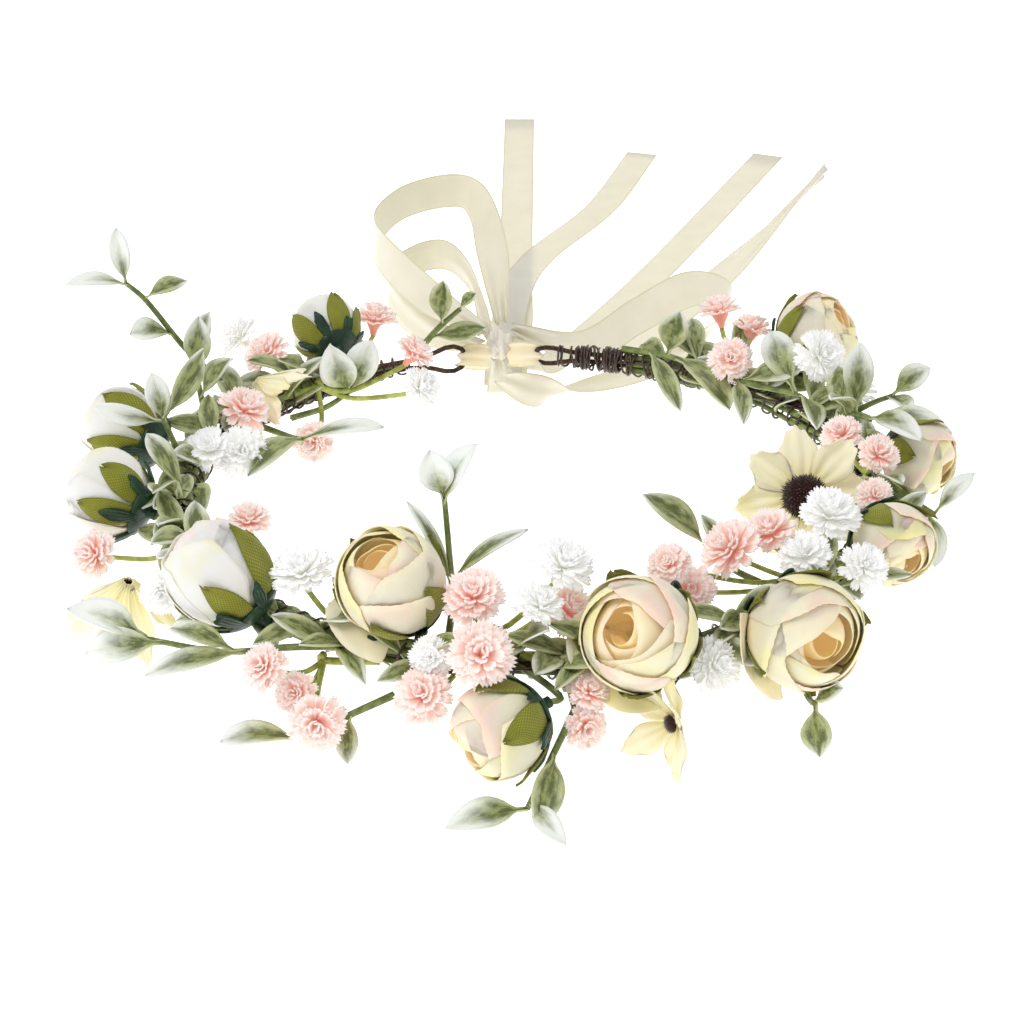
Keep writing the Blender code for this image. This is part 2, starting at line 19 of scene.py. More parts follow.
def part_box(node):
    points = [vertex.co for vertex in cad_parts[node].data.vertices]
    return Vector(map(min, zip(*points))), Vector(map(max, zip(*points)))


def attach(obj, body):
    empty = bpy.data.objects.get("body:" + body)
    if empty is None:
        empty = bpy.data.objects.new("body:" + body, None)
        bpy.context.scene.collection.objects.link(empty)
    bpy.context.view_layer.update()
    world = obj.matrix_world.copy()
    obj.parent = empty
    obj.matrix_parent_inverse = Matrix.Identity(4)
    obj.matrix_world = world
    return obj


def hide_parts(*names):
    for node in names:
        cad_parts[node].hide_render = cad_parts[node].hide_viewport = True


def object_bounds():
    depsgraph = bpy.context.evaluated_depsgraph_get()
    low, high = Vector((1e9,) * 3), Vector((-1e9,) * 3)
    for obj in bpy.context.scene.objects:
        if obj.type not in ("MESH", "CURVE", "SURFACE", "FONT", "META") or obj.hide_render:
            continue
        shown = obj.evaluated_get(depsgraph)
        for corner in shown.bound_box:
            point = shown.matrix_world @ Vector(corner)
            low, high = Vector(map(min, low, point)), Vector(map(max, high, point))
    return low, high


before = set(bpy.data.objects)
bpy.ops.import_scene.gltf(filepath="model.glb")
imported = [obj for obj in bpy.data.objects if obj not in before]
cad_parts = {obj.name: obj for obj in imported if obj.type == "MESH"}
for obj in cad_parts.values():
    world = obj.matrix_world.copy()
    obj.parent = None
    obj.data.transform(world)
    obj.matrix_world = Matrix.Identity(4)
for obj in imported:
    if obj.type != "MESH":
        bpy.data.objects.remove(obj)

MM = 0.001
UP = Vector((0, 0, 1))
solid_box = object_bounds()
low, high = (Vector(corner) for corner in solid_box)
print("solid model, mm:", [round(side / MM) for side in high - low])

# %% [markdown]
# ## Places on the ring
#
# A florist thinks of a crown as a clock face: how far round, how far out of the wire, how high. The same
# three numbers are used here for whatever the solid model has no piece for, so they follow the ring. The
# ring's size is measured from the wire itself.

# %% The ring
wire_low, wire_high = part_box("base_wire")
WIRE_RADIUS = 0.8 * MM
RING_RADIUS = 0.5 * (wire_high.x - wire_low.x) - WIRE_RADIUS
TABLE = low.z
RIBBON_WIDTH = 12.0 * MM


def on_ring(angle, out=0.0, up=0.0):
    """A point from its ring angle in degrees, and millimetres out of the ring line and above it."""
    turn = math.radians(angle)
    reach = RING_RADIUS + out * MM
    return Vector((reach * math.cos(turn), reach * math.sin(turn), up * MM))


def towards(plan, pitch):
    """A direction from its angle in plan and its pitch above the table, in degrees."""
    turn, tilt = math.radians(plan), math.radians(pitch)
    return Vector((math.cos(tilt) * math.cos(turn), math.cos(tilt) * math.sin(turn), math.sin(tilt)))


print("ring radius, mm:", round(RING_RADIUS / MM, 1), " table, mm:", round(TABLE / MM, 1))

# %% [markdown]
# ## The view
#
# The crown lies on a table and is seen from a little above, so that the ring is a flattened circle and the
# bow is behind it. A short lens near by would swell the front flowers and shrink the bow, so a long one is
# used from further off.

# %% Camera
VIEW_PITCH = 26.7
VIEW_DISTANCE = 0.909
aim_down = math.radians(VIEW_PITCH)


def new_object(name, data):
    """An object in the scene, from its mesh, lamp or camera data."""
    made = bpy.data.objects.new(name, data)
    bpy.context.scene.collection.objects.link(made)
    return made


camera = new_object("camera", bpy.data.cameras.new("camera"))
camera.location = (0, -VIEW_DISTANCE * math.cos(aim_down), VIEW_DISTANCE * math.sin(aim_down))
camera.rotation_euler = (math.radians(90 - VIEW_PITCH), 0, 0)
camera.data.lens = 109
camera.data.shift_x = -0.0146
camera.data.shift_y = -0.0169
camera.data.clip_start = 0.01
bpy.context.scene.camera = camera
print("camera height, mm:", round(camera.location.z / MM))

# %% [markdown]
# ## Colours and nodes
#
# Colours are written as they look on a screen, as hex values, and one function turns them into the
# linear values that a shader works in. A second function adds a node by a recipe: the node's kind and
# settings, the sockets that its values go to, and the output that is used. A material then reads as a
# short list of what happens to its colour.


# %% Colour and node helpers
def colour(code):
    """Linear red, green, blue and alpha from an sRGB hex colour."""
    parts = [int(code[i:i + 2], 16) / 255 for i in (1, 3, 5)]
    return tuple(p / 12.92 if p <= 0.04045 else ((p + 0.055) / 1.055) ** 2.4 for p in parts) + (1.0,)


MIX = ("Mix", {"data_type": "RGBA", "clamp_factor": True}, (0, 6, 7), 2)
RAMP = ("MapRange", {"interpolation_type": "SMOOTHSTEP"}, ("Value", "From Min", "From Max"), "Result")
TIMES = ("Math", {"operation": "MULTIPLY"}, (0, 1), 0)
PLUS = ("Math", {"operation": "ADD"}, (0, 1), 0)
LESS = ("Math", {"operation": "SUBTRACT"}, (0, 1), 0)
SIZE = ("Math", {"operation": "ABSOLUTE"}, (0,), 0)
PLACE = ("TexCoord", {}, (), "Object")            # where a point is, in metres
AXES = ("CombineXYZ", {}, ("X", "Y", "Z"), 0)
SLANT = ("Mapping", {}, ("Vector", "Rotation"), 0)
NOISE = ("TexNoise", {}, ("Vector", "Scale", "Detail", "Roughness"), "Fac")
WAVES = ("TexWave", {}, ("Vector", "Scale", "Distortion", "Detail"), "Fac")
BUMP = ("Bump", {}, ("Height", "Distance", "Strength"), "Normal")
WAVE_PERIOD = 0.314        # from crest to crest of a wave texture whose scale is 1
# values that the mesh keeps at each point
RISE, ACROSS, TINT, RIM, OWN = (
    ("Attribute", {"attribute_name": key}, (), "Fac") for key in ("rise", "across", "tint", "rim", "own"))


def add_node(tree, recipe, *inputs):
    """Add a node by its recipe. An input is a value, or another node's output to link."""
    kind, settings, sockets, output = recipe
    made = tree.nodes.new("ShaderNode" + kind)
    for key, value in settings.items():
        setattr(made, key, value)
    for socket, value in zip(sockets, inputs):
        if isinstance(value, bpy.types.NodeSocket):
            tree.links.new(value, made.inputs[socket])
        else:
            made.inputs[socket].default_value = value
    return made.outputs[output]


def start_material(name, **values):
    """A new material, the function that adds its nodes, and its Principled shader with plain values."""
    made = bpy.data.materials.new(name)
    made.use_nodes = True
    shader = made.node_tree.nodes["Principled BSDF"]
    for key, value in values.items():
        shader.inputs[key.replace("_", " ")].default_value = value
    return made, partial(add_node, made.node_tree), shader


def feed(shader, **outputs):
    """Link nodes' outputs to the shader's sockets."""
    for key, output in outputs.items():
        shader.id_data.links.new(output, shader.inputs[key.replace("_", " ")])


print("helpers ready")

# %% [markdown]
# ## Cloth for the roses and cosmos
#
# Craft flower petals are cut from thin polyester cloth, stiffened with starch and dyed by hand: the foot
# of each petal keeps a greenish yellow wash, the edge a touch of blush, and the heart of a rose is peach.
# The cloth is matt and lets some light through. Its threads are about 0.1 mm, too fine to show, so the
# surface shows only the soft creases that run up each petal. Every piece keeps five values at its points:
# how far up it is (rise), how far from its middle (across), how near its edge (rim), how deep in the flower
# (tint), and a number that makes one petal or leaf differ from the next (own). An image of dyed cloth would
# repeat from petal to petal, so the dye is mixed from these values instead.


# %% Petal cloth
# light is passed on many times between the thin pale fingers of a head, and between the petals deep in a
# rose, more often than a render follows it: a little light of their own stands for that
FILLER_GLOW = 0.075
HEART_GLOW = 0.12


def petal_cloth(name, cream, foot, heart, blush, lemon, blush_amount):
    made, add, shader = start_material(
        name, Roughness=0.75, Subsurface_Weight=0.55, Subsurface_Scale=1.6 * MM,
        Subsurface_Radius=(1.0, 0.86, 0.6), Sheen_Weight=0.1, Specular_IOR_Level=0.25,
        Emission_Strength=HEART_GLOW)
    rise, across, tint, own = (add(kept) for kept in (RISE, ACROSS, TINT, OWN))
    cloudy = add(NOISE, add(PLACE), 1 / (9.0 * MM), 2.0)
    body = add(MIX, add(TIMES, add(RAMP, rise, 0.7, 0.05), 0.75), colour(cream), colour(foot))
    # some petals are dipped in lemon dye, others in blush, and the dye is strongest along the rim
    lemon_dip = add(TIMES, add(RAMP, own, 0.45, 0.8), add(RAMP, rise, 0.35, 1.0))
    body = add(MIX, add(TIMES, lemon_dip, add(RAMP, cloudy, 0.3, 0.65)), body, colour(lemon))
    blush_dip = add(TIMES, add(RAMP, own, 0.42, 0.15), add(RAMP, rise, 0.62, 1.0))
    blush_dip = add(TIMES, blush_dip, add(RAMP, cloudy, 0.35, 0.6))
    body = add(MIX, add(TIMES, blush_dip, blush_amount), body, colour(blush))
    deep = add(TIMES, add(RAMP, tint, 0.1, 1.0), 0.95)
    pale_rim = add(LESS, 1.1, add(TIMES, rise, 0.55))
    body = add(MIX, add(TIMES, deep, pale_rim), body, colour(heart))
    # creases about 0.6 mm apart fan out from the foot of the petal
    fan = add(AXES, add(TIMES, across, 9.0), add(TIMES, rise, 1.2), own)
    feed(shader, Base_Color=body, Normal=add(BUMP, add(NOISE, fan, 1.6, 3.0), 0.18 * MM, 0.5),
         Emission_Color=add(MIX, deep, (0, 0, 0, 1), colour(heart)))
    return made


IVORY_CLOTH = petal_cloth(
    "ivory_polyester_cloth", "#F5EAC8", "#E9DD94", "#FADAA0", "#F9C6BE", "#F1E8A4", 0.7)
WHITE_CLOTH = petal_cloth(
    "white_polyester_cloth", "#FBF6EA", "#F3EEC6", "#F8DDB0", "#F7CFCA", "#F5F0CC", 0.45)
COSMOS_CLOTH = petal_cloth(
    "cosmos_polyester_cloth", "#F4EBCB", "#E6D893", "#E2CC78", "#F2D3B4", "#EADFA6", 0.5)
print("petal cloth:", IVORY_CLOTH.name, WHITE_CLOTH.name, COSMOS_CLOTH.name)

# %% [markdown]
# ## Woven sepals
#
# The sepals are a coarser woven cotton, dyed olive, with the weave running slantwise and a darker, frayed
# cut edge. It is quite matt, so that the weave reads by its shadows: bump gives some, and the hollows between
# the threads are painted darker as shade. Threads could be modelled one by one, but two waves crossed in the
# material look the same at this size. The real threads are about 0.35 mm apart. They are drawn 0.85 mm
# apart, so that they show.

# %% Sepal cloth
THREADS_APART = 0.85
SEPAL_CLOTH, add, shader = start_material(
    "olive_cotton_weave", Roughness=0.85, Sheen_Weight=0.15, Specular_IOR_Level=0.2,
    Subsurface_Weight=0.25, Subsurface_Scale=0.8 * MM, Subsurface_Radius=(1.0, 1.0, 0.4))
# a sepal is about 12 mm wide and 22 mm long, so these are millimetres on the cloth
cloth = add(AXES, add(TIMES, add(ACROSS), 6.0), add(TIMES, add(RISE), 22.0))
threads = [add(WAVES, add(SLANT, cloth, (0, 0, math.radians(slant))), WAVE_PERIOD / THREADS_APART, 0.6, 1.0)
           for slant in (40.0, -50.0)]
weave = add(TIMES, *threads)
body = add(MIX, add(NOISE, add(PLACE), 1 / (5.0 * MM), 3.0), colour("#7A7E1E"), colour("#A3A645"))
# painted shade: the hollows between the threads are darker
body = add(MIX, add(TIMES, add(RAMP, weave, 0.4, 0.0), 0.6), body, colour("#5C5A18"))
cut_edge = add(RAMP, add(RIM), 0.88, 1.0)
body = add(MIX, add(TIMES, cut_edge, 0.45), body, colour("#55541A"))
feed(shader, Base_Color=body, Normal=add(BUMP, weave, 0.12 * MM, 0.7))
print("sepals:", SEPAL_CLOTH.name)

# %% [markdown]
# ## Moulded plastic
#
# The cup under each rose is glossy dark green polyethylene. The leaves are a softer moulding: grey-green
# with darker mottles, and their tips are dusted white. The filler heads are moulded in pink or white,
# deeper in colour at the heart, with pale tips. All of them are waxy: a little light goes in and comes
# back out, and the gloss is low except on the cup. A painted image could hold the mottles, but noise gives
# every leaf its own.

# %% Cup and leaves
CUP_PLASTIC, add, shader = start_material(
    "dark_green_polyethylene", Roughness=0.36, IOR=1.51, Specular_IOR_Level=0.4)
tone = add(RAMP, add(NOISE, add(PLACE), 1 / (3.0 * MM), 3.0), 0.35, 0.75)
ribs = add(WAVES, add(AXES, add(ACROSS)), 0.6, 1.0)
feed(shader, Base_Color=add(MIX, tone, colour("#0E2A1A"), colour("#1D4A30")),
     Normal=add(BUMP, ribs, 0.2 * MM, 0.5))

LEAF_PLASTIC, add, shader = start_material(
    "frosted_leaf_polyethylene", Roughness=0.48, IOR=1.5, Subsurface_Weight=0.25,
    Subsurface_Scale=1.0 * MM, Subsurface_Radius=(0.9, 1.0, 0.6), Specular_IOR_Level=0.4)
rise, across, tint, own = (add(kept) for kept in (RISE, ACROSS, TINT, OWN))
# blotches 3 mm long run out from the rib, and finer ones break their edges
along = add(AXES, add(TIMES, across, 1.5), add(TIMES, rise, 3.4), add(TIMES, own, 40.0))
blotch = add(NOISE, along, 1.5, 5.0, 0.62)
body = add(MIX, add(RAMP, blotch, 0.40, 0.62), colour("#5C6638"), colour("#98A068"))
edge = add(PLUS, add(SIZE, across), add(TIMES, blotch, 0.8))
body = add(MIX, add(TIMES, add(RAMP, edge, 0.7, 1.4), 0.8), body, colour("#C4C99C"))
# the white dusting grows with rise and with each leaf's own share, and the blotches break its border
level = add(PLUS, add(PLUS, rise, tint), add(TIMES, edge, 0.35))
body = add(MIX, add(RAMP, level, 1.15, 1.75), body, colour("#E9ECE8"))
feed(shader, Base_Color=body, Normal=add(BUMP, add(WAVES, along, 1.1, 2.0, 2.0), 0.2 * MM, 0.3))
print("plastics:", CUP_PLASTIC.name, LEAF_PLASTIC.name)


# %% Stems and filler heads
def stem_plastic(name, dark, pale):
    made, add, shader = start_material(name, Roughness=0.5, IOR=1.5, Specular_IOR_Level=0.4)
    tone = add(RAMP, add(NOISE, add(PLACE), 1 / (2.5 * MM), 4.0), 0.35, 0.65)
    grain = add(NOISE, add(PLACE), 1 / (0.8 * MM), 2.0)
    feed(shader, Base_Color=add(MIX, tone, colour(dark), colour(pale)),
         Normal=add(BUMP, grain, 0.12 * MM, 0.4))
    return made


def filler_plastic(name, core, middle, tip):
    made, add, shader = start_material(
        name, Roughness=0.6, IOR=1.48, Subsurface_Weight=0.5, Subsurface_Scale=1.5 * MM,
        Subsurface_Radius=(1.0, 0.9, 0.85), Specular_IOR_Level=0.3, Emission_Strength=FILLER_GLOW)
    rise = add(RISE)
    body = add(MIX, add(RAMP, rise, 0.1, 0.6), colour(core), colour(middle))
    body = add(MIX, add(RAMP, rise, 0.5, 1.0), body, colour(tip))
    body = add(MIX, add(TIMES, add(TINT), 0.35), body, colour(middle))
    grain = add(NOISE, add(PLACE), 1 / (0.7 * MM), 2.0)
    feed(shader, Base_Color=body, Emission_Color=body, Normal=add(BUMP, grain, 0.12 * MM, 0.3))
    return made


STEM_PLASTIC = stem_plastic("olive_stem_polyethylene", "#5A6836", "#7F8C4E")
FILLER_STEM = stem_plastic("lime_stem_polyethylene", "#8F9A44", "#B5BD62")
FILLER_PINK = filler_plastic("pink_filler_polyethylene", "#FFA793", "#FFD3C7", "#FFEEE8")
FILLER_WHITE = filler_plastic("white_filler_polyethylene", "#F8F9EA", "#FEFEFB", "#FFFFFF")
print("plastics:", STEM_PLASTIC.name, FILLER_STEM.name, FILLER_PINK.name, FILLER_WHITE.name)

# %% [markdown]
# ## Wire, flock and satin
#
# The ring is steel wire wound with crepe paper tape, which is matt and rough to look at. The thin binding
# wire has a dark brown lacquer with a weak gloss. The cosmos heart is brown flock, short fibres glued on end,
# and its dome and the feet of its fibres are painted almost black as the shade between the fibres. The
# ribbon is single-face polyester satin, 12 mm wide: its long floats give a soft gloss across the width, and
# a narrow woven edge, the selvedge, is denser and a little darker. The knot's satin is painted brighter, to
# lift the shade between its crossed bands, and the ribbon round the wire loops is painted warmer and
# lighter, as warm light reflected on to it in shade.

# %% Wire and flock
PAPER_WIRE, add, shader = start_material("brown_paper_tape", Roughness=0.8, Specular_IOR_Level=0.3)
grain = add(NOISE, add(PLACE), 1 / (1.2 * MM), 5.0)
feed(shader, Base_Color=add(MIX, add(RAMP, grain, 0.35, 0.7), colour("#2E1E16"), colour("#5A4030")),
     Normal=add(BUMP, grain, 0.25 * MM, 0.7))

BINDING_LACQUER, add, shader = start_material("brown_lacquered_wire", Roughness=0.38, Coat_Weight=0.2)
tone = add(NOISE, add(PLACE), 1 / (2.0 * MM), 2.0)
feed(shader, Base_Color=add(MIX, tone, colour("#20130D"), colour("#4A2F20")))

FLOCK, add, shader = start_material("brown_flock", Roughness=1.0, Sheen_Weight=0.5, Specular_IOR_Level=0.1)
# painted shade: the dome and the feet of the fibres are near black, as the shade between the fibres
body = add(MIX, add(RISE), colour("#170706"), colour("#5B2A1A"))
shaded = add(TIMES, add(NOISE, add(PLACE), 1 / (1.0 * MM), 2.0), 0.6)
feed(shader, Base_Color=add(MIX, shaded, body, colour("#2A0F0A")))
print("wire and flock:", PAPER_WIRE.name, BINDING_LACQUER.name, FLOCK.name)

# %% Satin
RIBS_APART = 0.45          # millimetres as drawn, where the real weft ribs are 0.15 mm apart


def satin(name, shade, light):
    made, add, shader = start_material(
        name, Roughness=0.36, Subsurface_Weight=0.5, Subsurface_Scale=1.2 * MM,
        Subsurface_Radius=(1.0, 0.92, 0.7), Sheen_Weight=0.15, Sheen_Roughness=0.4, Specular_IOR_Level=0.4)
    selvedge = add(RAMP, add(SIZE, add(ACROSS)), 0.90, 0.94)
    body = add(MIX, add(NOISE, add(PLACE), 1 / (9.0 * MM), 2.0), colour(shade), colour(light))
    body = add(MIX, add(TIMES, selvedge, 0.7), body, colour("#C6C0A4"))
    # rise is in millimetres along a ribbon, and the selvedge stands a step above the ribs
    ribs = add(WAVES, add(AXES, add(RISE)), WAVE_PERIOD / RIBS_APART, 0.3)
    height = add(PLUS, add(TIMES, ribs, 0.3), selvedge)
    feed(shader, Base_Color=body, Normal=add(BUMP, height, 0.08 * MM, 0.7))
    return made


SATIN = satin("cream_polyester_satin", "#D2CDBA", "#DFDACA")
# painted brighter than the other satin, to lift the shade between the knot's crossed bands
KNOT_SATIN_PAINTED_BRIGHTER = satin("knot_satin_painted_brighter", "#EFE2C8", "#F8EEDC")
# painted warmer and lighter: warm light reflected on to the ribbon round the wire loops, in shade
EYE_SATIN_PAINTED_WARM = satin("eye_satin_painted_warm_light", "#F1DCAA", "#F8EBD4")
print("satin:", SATIN.name, KNOT_SATIN_PAINTED_BRIGHTER.name, EYE_SATIN_PAINTED_WARM.name)

# %% [markdown]
# ## A sheet of points, and a piece
#
# Nearly every part here is thin: a petal, a sepal, a leaf, a ribbon. Each is made as a grid of points
# worked out from a formula, and a flower gathers its grids into one mesh. A class keeps the growing piece
# tidy. Modelling each petal by hand would give the same shapes, but a formula lets every flower differ.


# %% Piece maker
def grid(rows, columns, start=0.0):
    """How far up a sheet each point is, from start to 1, and how far across it, from -1 to 1."""
    return np.meshgrid(np.linspace(start, 1, rows), np.linspace(-1, 1, columns), indexing="ij")


class Piece:
    """The points, faces and per-point values of one piece while it is made."""

    def __init__(self, name, body="crown"):
        self.name, self.body = name, body
        self.points, self.faces, self.finishes = [], [], []
        self.values = {"rise": [], "across": [], "tint": [], "rim": [], "own": []}
        self.count = 0

    def sheet(self, spots, rise=None, across=None, tint=0.0, own=0.5, finish=0, closed=False):
        """Add a grid of points, rows by columns by three. closed joins its last column to its first."""
        rows, columns = spots.shape[:2]
        v, u = grid(rows, columns)
        values = {"rise": v if rise is None else rise, "across": u if across is None else across,
                  "tint": tint, "rim": np.maximum(np.abs(u), v), "own": own}
        for r in range(rows - 1):
            for c in range(columns if closed else columns - 1):
                a, b = (self.count + r * columns + k % columns for k in (c, c + 1))
                self.faces.append((a, b, b + columns, a + columns))
                self.finishes.append(finish)
        self.points.append(spots.reshape(-1, 3))
        for key, value in values.items():
            self.values[key].append(np.broadcast_to(value, (rows, columns)).ravel())
        self.count += rows * columns
        return self

    def place(self, matrix):
        """Move everything made so far."""
        turn = np.array(matrix.to_3x3())
        self.points = [p @ turn.T + np.array(matrix.translation) for p in self.points]
        return self

    def join(self, other):
        """Take in another piece's sheets."""
        self.faces += [tuple(i + self.count for i in face) for face in other.faces]
        self.finishes += other.finishes
        self.points += other.points
        for key in self.values:
            self.values[key] += other.values[key]
        self.count += other.count
        return self

    def finish(self, materials, slot, replaces=(), thickness=0.0, offset=0.0):
        """Make the mesh, give it its cloth or plastic thickness, and let it ride on its body."""
        mesh = bpy.data.meshes.new(self.name)
        mesh.from_pydata(np.concatenate(self.points).tolist(), [], self.faces)
        for key, parts in self.values.items():
            attribute = mesh.attributes.new(key, "FLOAT", "POINT")
            attribute.data.foreach_set("value", np.concatenate(parts).astype(np.float32))
        for material in materials:
            mesh.materials.append(material)
        mesh.polygons.foreach_set("material_index", self.finishes)
        mesh.shade_smooth()
        if not thickness:
            shell = bmesh.new()
            shell.from_mesh(mesh)
            bmesh.ops.recalc_face_normals(shell, faces=shell.faces)
            shell.to_mesh(mesh)
            shell.free()
        made = new_object(self.name, mesh)
        if thickness:
            wall = made.modifiers.new("thickness", "SOLIDIFY")
            wall.thickness = thickness
            wall.offset = offset
        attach(made, self.body)
        if replaces:
            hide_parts(*replaces)
        return made


def solids_of(name):
    """The solid model's node of that name, where it has one."""
    return [name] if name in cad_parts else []


print("piece maker ready")


# %% Curves and turns
def smooth_step(value, start, end):
    share = np.clip((value - start) / (end - start), 0, 1)
    return share * share * (3 - 2 * share)


def smooth_route(points, steps=4):
    """Points read from a smooth curve through the given ones, steps to a span."""
    points = [np.array(p, float) for p in points]
    ends = [2 * points[0] - points[1]] + points + [2 * points[-1] - points[-2]]
    route = []
    for a, b, c, d in zip(ends, ends[1:], ends[2:], ends[3:]):
        for step in range(steps):
            t = step / steps
            slope = (c - a) * t
            bend = (2 * a - 5 * b + 4 * c - d) * t ** 2
            twist = (3 * b - a - 3 * c + d) * t ** 3
            route.append(0.5 * (2 * b + slope + bend + twist))
    return np.array(route + [points[-1]])


def unit(vectors):
    return vectors / np.maximum(np.linalg.norm(vectors, axis=-1, keepdims=True), 1e-9)


def turned(spots, angle, axis="Z"):
    """Points turned about an axis through the origin, by degrees."""
    return spots @ np.array(Matrix.Rotation(math.radians(angle), 3, axis)).T


print("curves and turns ready")

# %% [markdown]
# ## Tubes
#
# Stems and wires are tubes along a smooth line. A curve object with a bevel would do, but a stem that is
# part of a spray has to be in the same mesh as its heads, so the ring of points is swept by hand.


# %% Tube
def tube(piece, route, radius, sides=8, ribs=0.0, finish=0):
    """Sweep a ring of points along a route. radius is one number, or one for each point."""
    route = np.array(route, float)
    along = unit(np.gradient(route, axis=0))
    helper = np.array((0.0, 0.0, 1.0)) if abs(along[0][2]) < 0.8 else np.array((1.0, 0.0, 0.0))
    side = np.cross(along[0], helper)
    sides_of = []
    for way in along:
        side = side - way * side.dot(way)
        side = side / np.linalg.norm(side)
        sides_of.append(side)
    side = np.array(sides_of)
    over = np.cross(side, along)
    turn = np.linspace(0, 2 * math.pi, sides, endpoint=False)
    reach = np.broadcast_to(np.array(radius, float).reshape(-1, 1), (len(route), 1))
    reach = reach * (1 + ribs * np.cos(turn * sides / 2))
    spots = route[:, None] + reach[..., None] * (
        np.cos(turn)[None, :, None] * side[:, None] + np.sin(turn)[None, :, None] * over[:, None])
    # both ends close to a point, so that the tube is solid
    spots = np.concatenate([np.repeat(route[:1, None], sides, axis=1), spots,
                            np.repeat(route[-1:, None], sides, axis=1)])
    return piece.sheet(spots, finish=finish, closed=True)


def bowl(radius, height, angles, sides):
    """Rings of points on a bowl or dome, at angles in degrees from its pole."""
    turn = np.linspace(0, 2 * math.pi, sides, endpoint=False)
    rows = [np.stack([radius * math.sin(t) * np.cos(turn), radius * math.sin(t) * np.sin(turn),
                      np.full(sides, height * math.cos(t))], axis=-1) for t in np.radians(angles)]
    return np.stack(rows)


print("tube and bowl ready")

# %% [markdown]
# ## Rose petals
#
# A craft rose is a ball of petals wrapped round each other: each is a rounded patch of cloth on an
# invisible ball, a little nearer the heart along one side, so that it tucks under its neighbour. Angles
# are counted from the foot of the ball, so a petal that ends at 90 degrees stops at the widest part and
# one that ends at 140 degrees closes over the top. The outer rims turn back a little, and they are cut
# with pinking shears, which leaves fine teeth. Cloth simulation could drape petals, but it would not keep
# the tight wrap that a maker presses into them, and a formula does.


# %% Petal wrap
def wrap(piece, radius, turn, half_width, top, rng, foot=14.0, lean=0.05, flare=0.05, point=0.0,
         teeth=0.0, rows=12, columns=27, tint=0.0, tall=1.0, waves=0.012, tilt=0.0):
    """A petal or sepal on a ball. turn, half_width, top, foot and tilt are degrees."""
    v, u = grid(rows, columns)
    full = 0.42 + 0.58 * smooth_step(v, 0.0, 0.55)
    narrow = np.clip(1 - v, 0, 1) ** 0.85 * (0.74 + 1.5 * v)
    width = (1 - point) * full + point * np.maximum(narrow, 0.02)
    rim = top * (1 - (1 - point) * 0.17 * np.abs(u) ** 2.6)
    theta = foot + (rim - foot) * v
    phase = rng.uniform(0, 6.3, 3)
    ripple = np.sin(3.1 * u + phase[0]) + 0.6 * np.sin(5.3 * u + phase[1])
    theta = theta + 2.2 * ripple * smooth_step(v, 0.5, 1.0)
    if teeth:
        theta[-1] += teeth * np.where(np.arange(columns) % 2, 1, -1)
    reach = radius * (1 + lean * u + flare * smooth_step(v, 0.7, 1.0) ** 1.5
                      + waves * np.sin(4 * u + 5 * v + phase[2]) * v)
    phi = np.radians(turn + half_width * u * width)
    theta = np.radians(theta)
    spots = np.stack([reach * np.sin(theta) * np.cos(phi), reach * np.sin(theta) * np.sin(phi),
                      -reach * tall * np.cos(theta)], axis=-1)
    if tilt:
        facing = math.radians(turn)
        spots = turned(spots, tilt, Vector((-math.sin(facing), math.cos(facing), 0)))
    return piece.sheet(spots, tint=tint, own=rng.uniform(0, 1))


# petals in a layer, size, half width, top, depth in the flower, tilt either way, rise of the layer
ROSE_LAYERS = [
    (3, 1.00, 72, 124, 0.0, 4, 0.0),
    (3, 0.975, 66, 141, 0.03, 4, 0.0),
    (3, 0.945, 60, 149, 0.10, 6, 0.0),
    (2, 0.87, 80, 150, 0.30, 9, 0.03),
    (2, 0.73, 84, 150, 0.50, 13, 0.10),
    (2, 0.56, 90, 149, 0.7, 16, 0.20),
    (1, 0.36, 140, 146, 1.0, 14, 0.32),
]
HIGHEST_RIM = 161.0        # degrees: a petal stops before it meets the others over the top
LAYER_TURN = 0.42          # how far a layer is turned from the one outside it, in petals
print("petals in a rose:", sum(layer[0] for layer in ROSE_LAYERS))


# %% A flower's frame
def frame_at(centre, axis, spin=0.0):
    """A matrix with its Z along axis at centre."""
    turn = Vector(axis).to_track_quat("Z", "Y").to_matrix().to_4x4()
    return Matrix.Translation(centre) @ turn @ Matrix.Rotation(math.radians(spin), 4, "Z")


def turn_towards(matrix, direction):
    """The angle about a flower's own axis that faces a direction in the model's frame."""
    local = matrix.to_3x3().inverted() @ Vector(direction)
    return math.degrees(math.atan2(local.y, local.x))


def head_frame(petals_node, under_node, spin=0.0):
    """A flower's frame and half size, read from its solid petals and the solid piece under or over them."""
    lowest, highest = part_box(petals_node)
    centre = 0.5 * (lowest + highest)
    spots = [np.array([v.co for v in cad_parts[n].data.vertices]) for n in (petals_node, under_node)]
    axis = Vector((spots[0].mean(axis=0) - spots[1].mean(axis=0)).tolist())
    half = 0.5 * max(highest - lowest)
    return frame_at(centre, axis.normalized(), spin), half


print("flower frames ready")

# %% [markdown]
# ## The roses
#
# Each rose has its own seed, so its petals differ, and its own openness: a bud's layers close over the
# top and an open rose's stop earlier. Some have a loose outer petal that stands away from the ball. The
# sepals are five pointed pieces of olive cloth, and the plastic cup holds them with six blunt fingers. One
# row of looks is enough for each rose, and saves modelling eleven by hand.

# %% Looks of the roses
CLOTH = 0.28 * MM

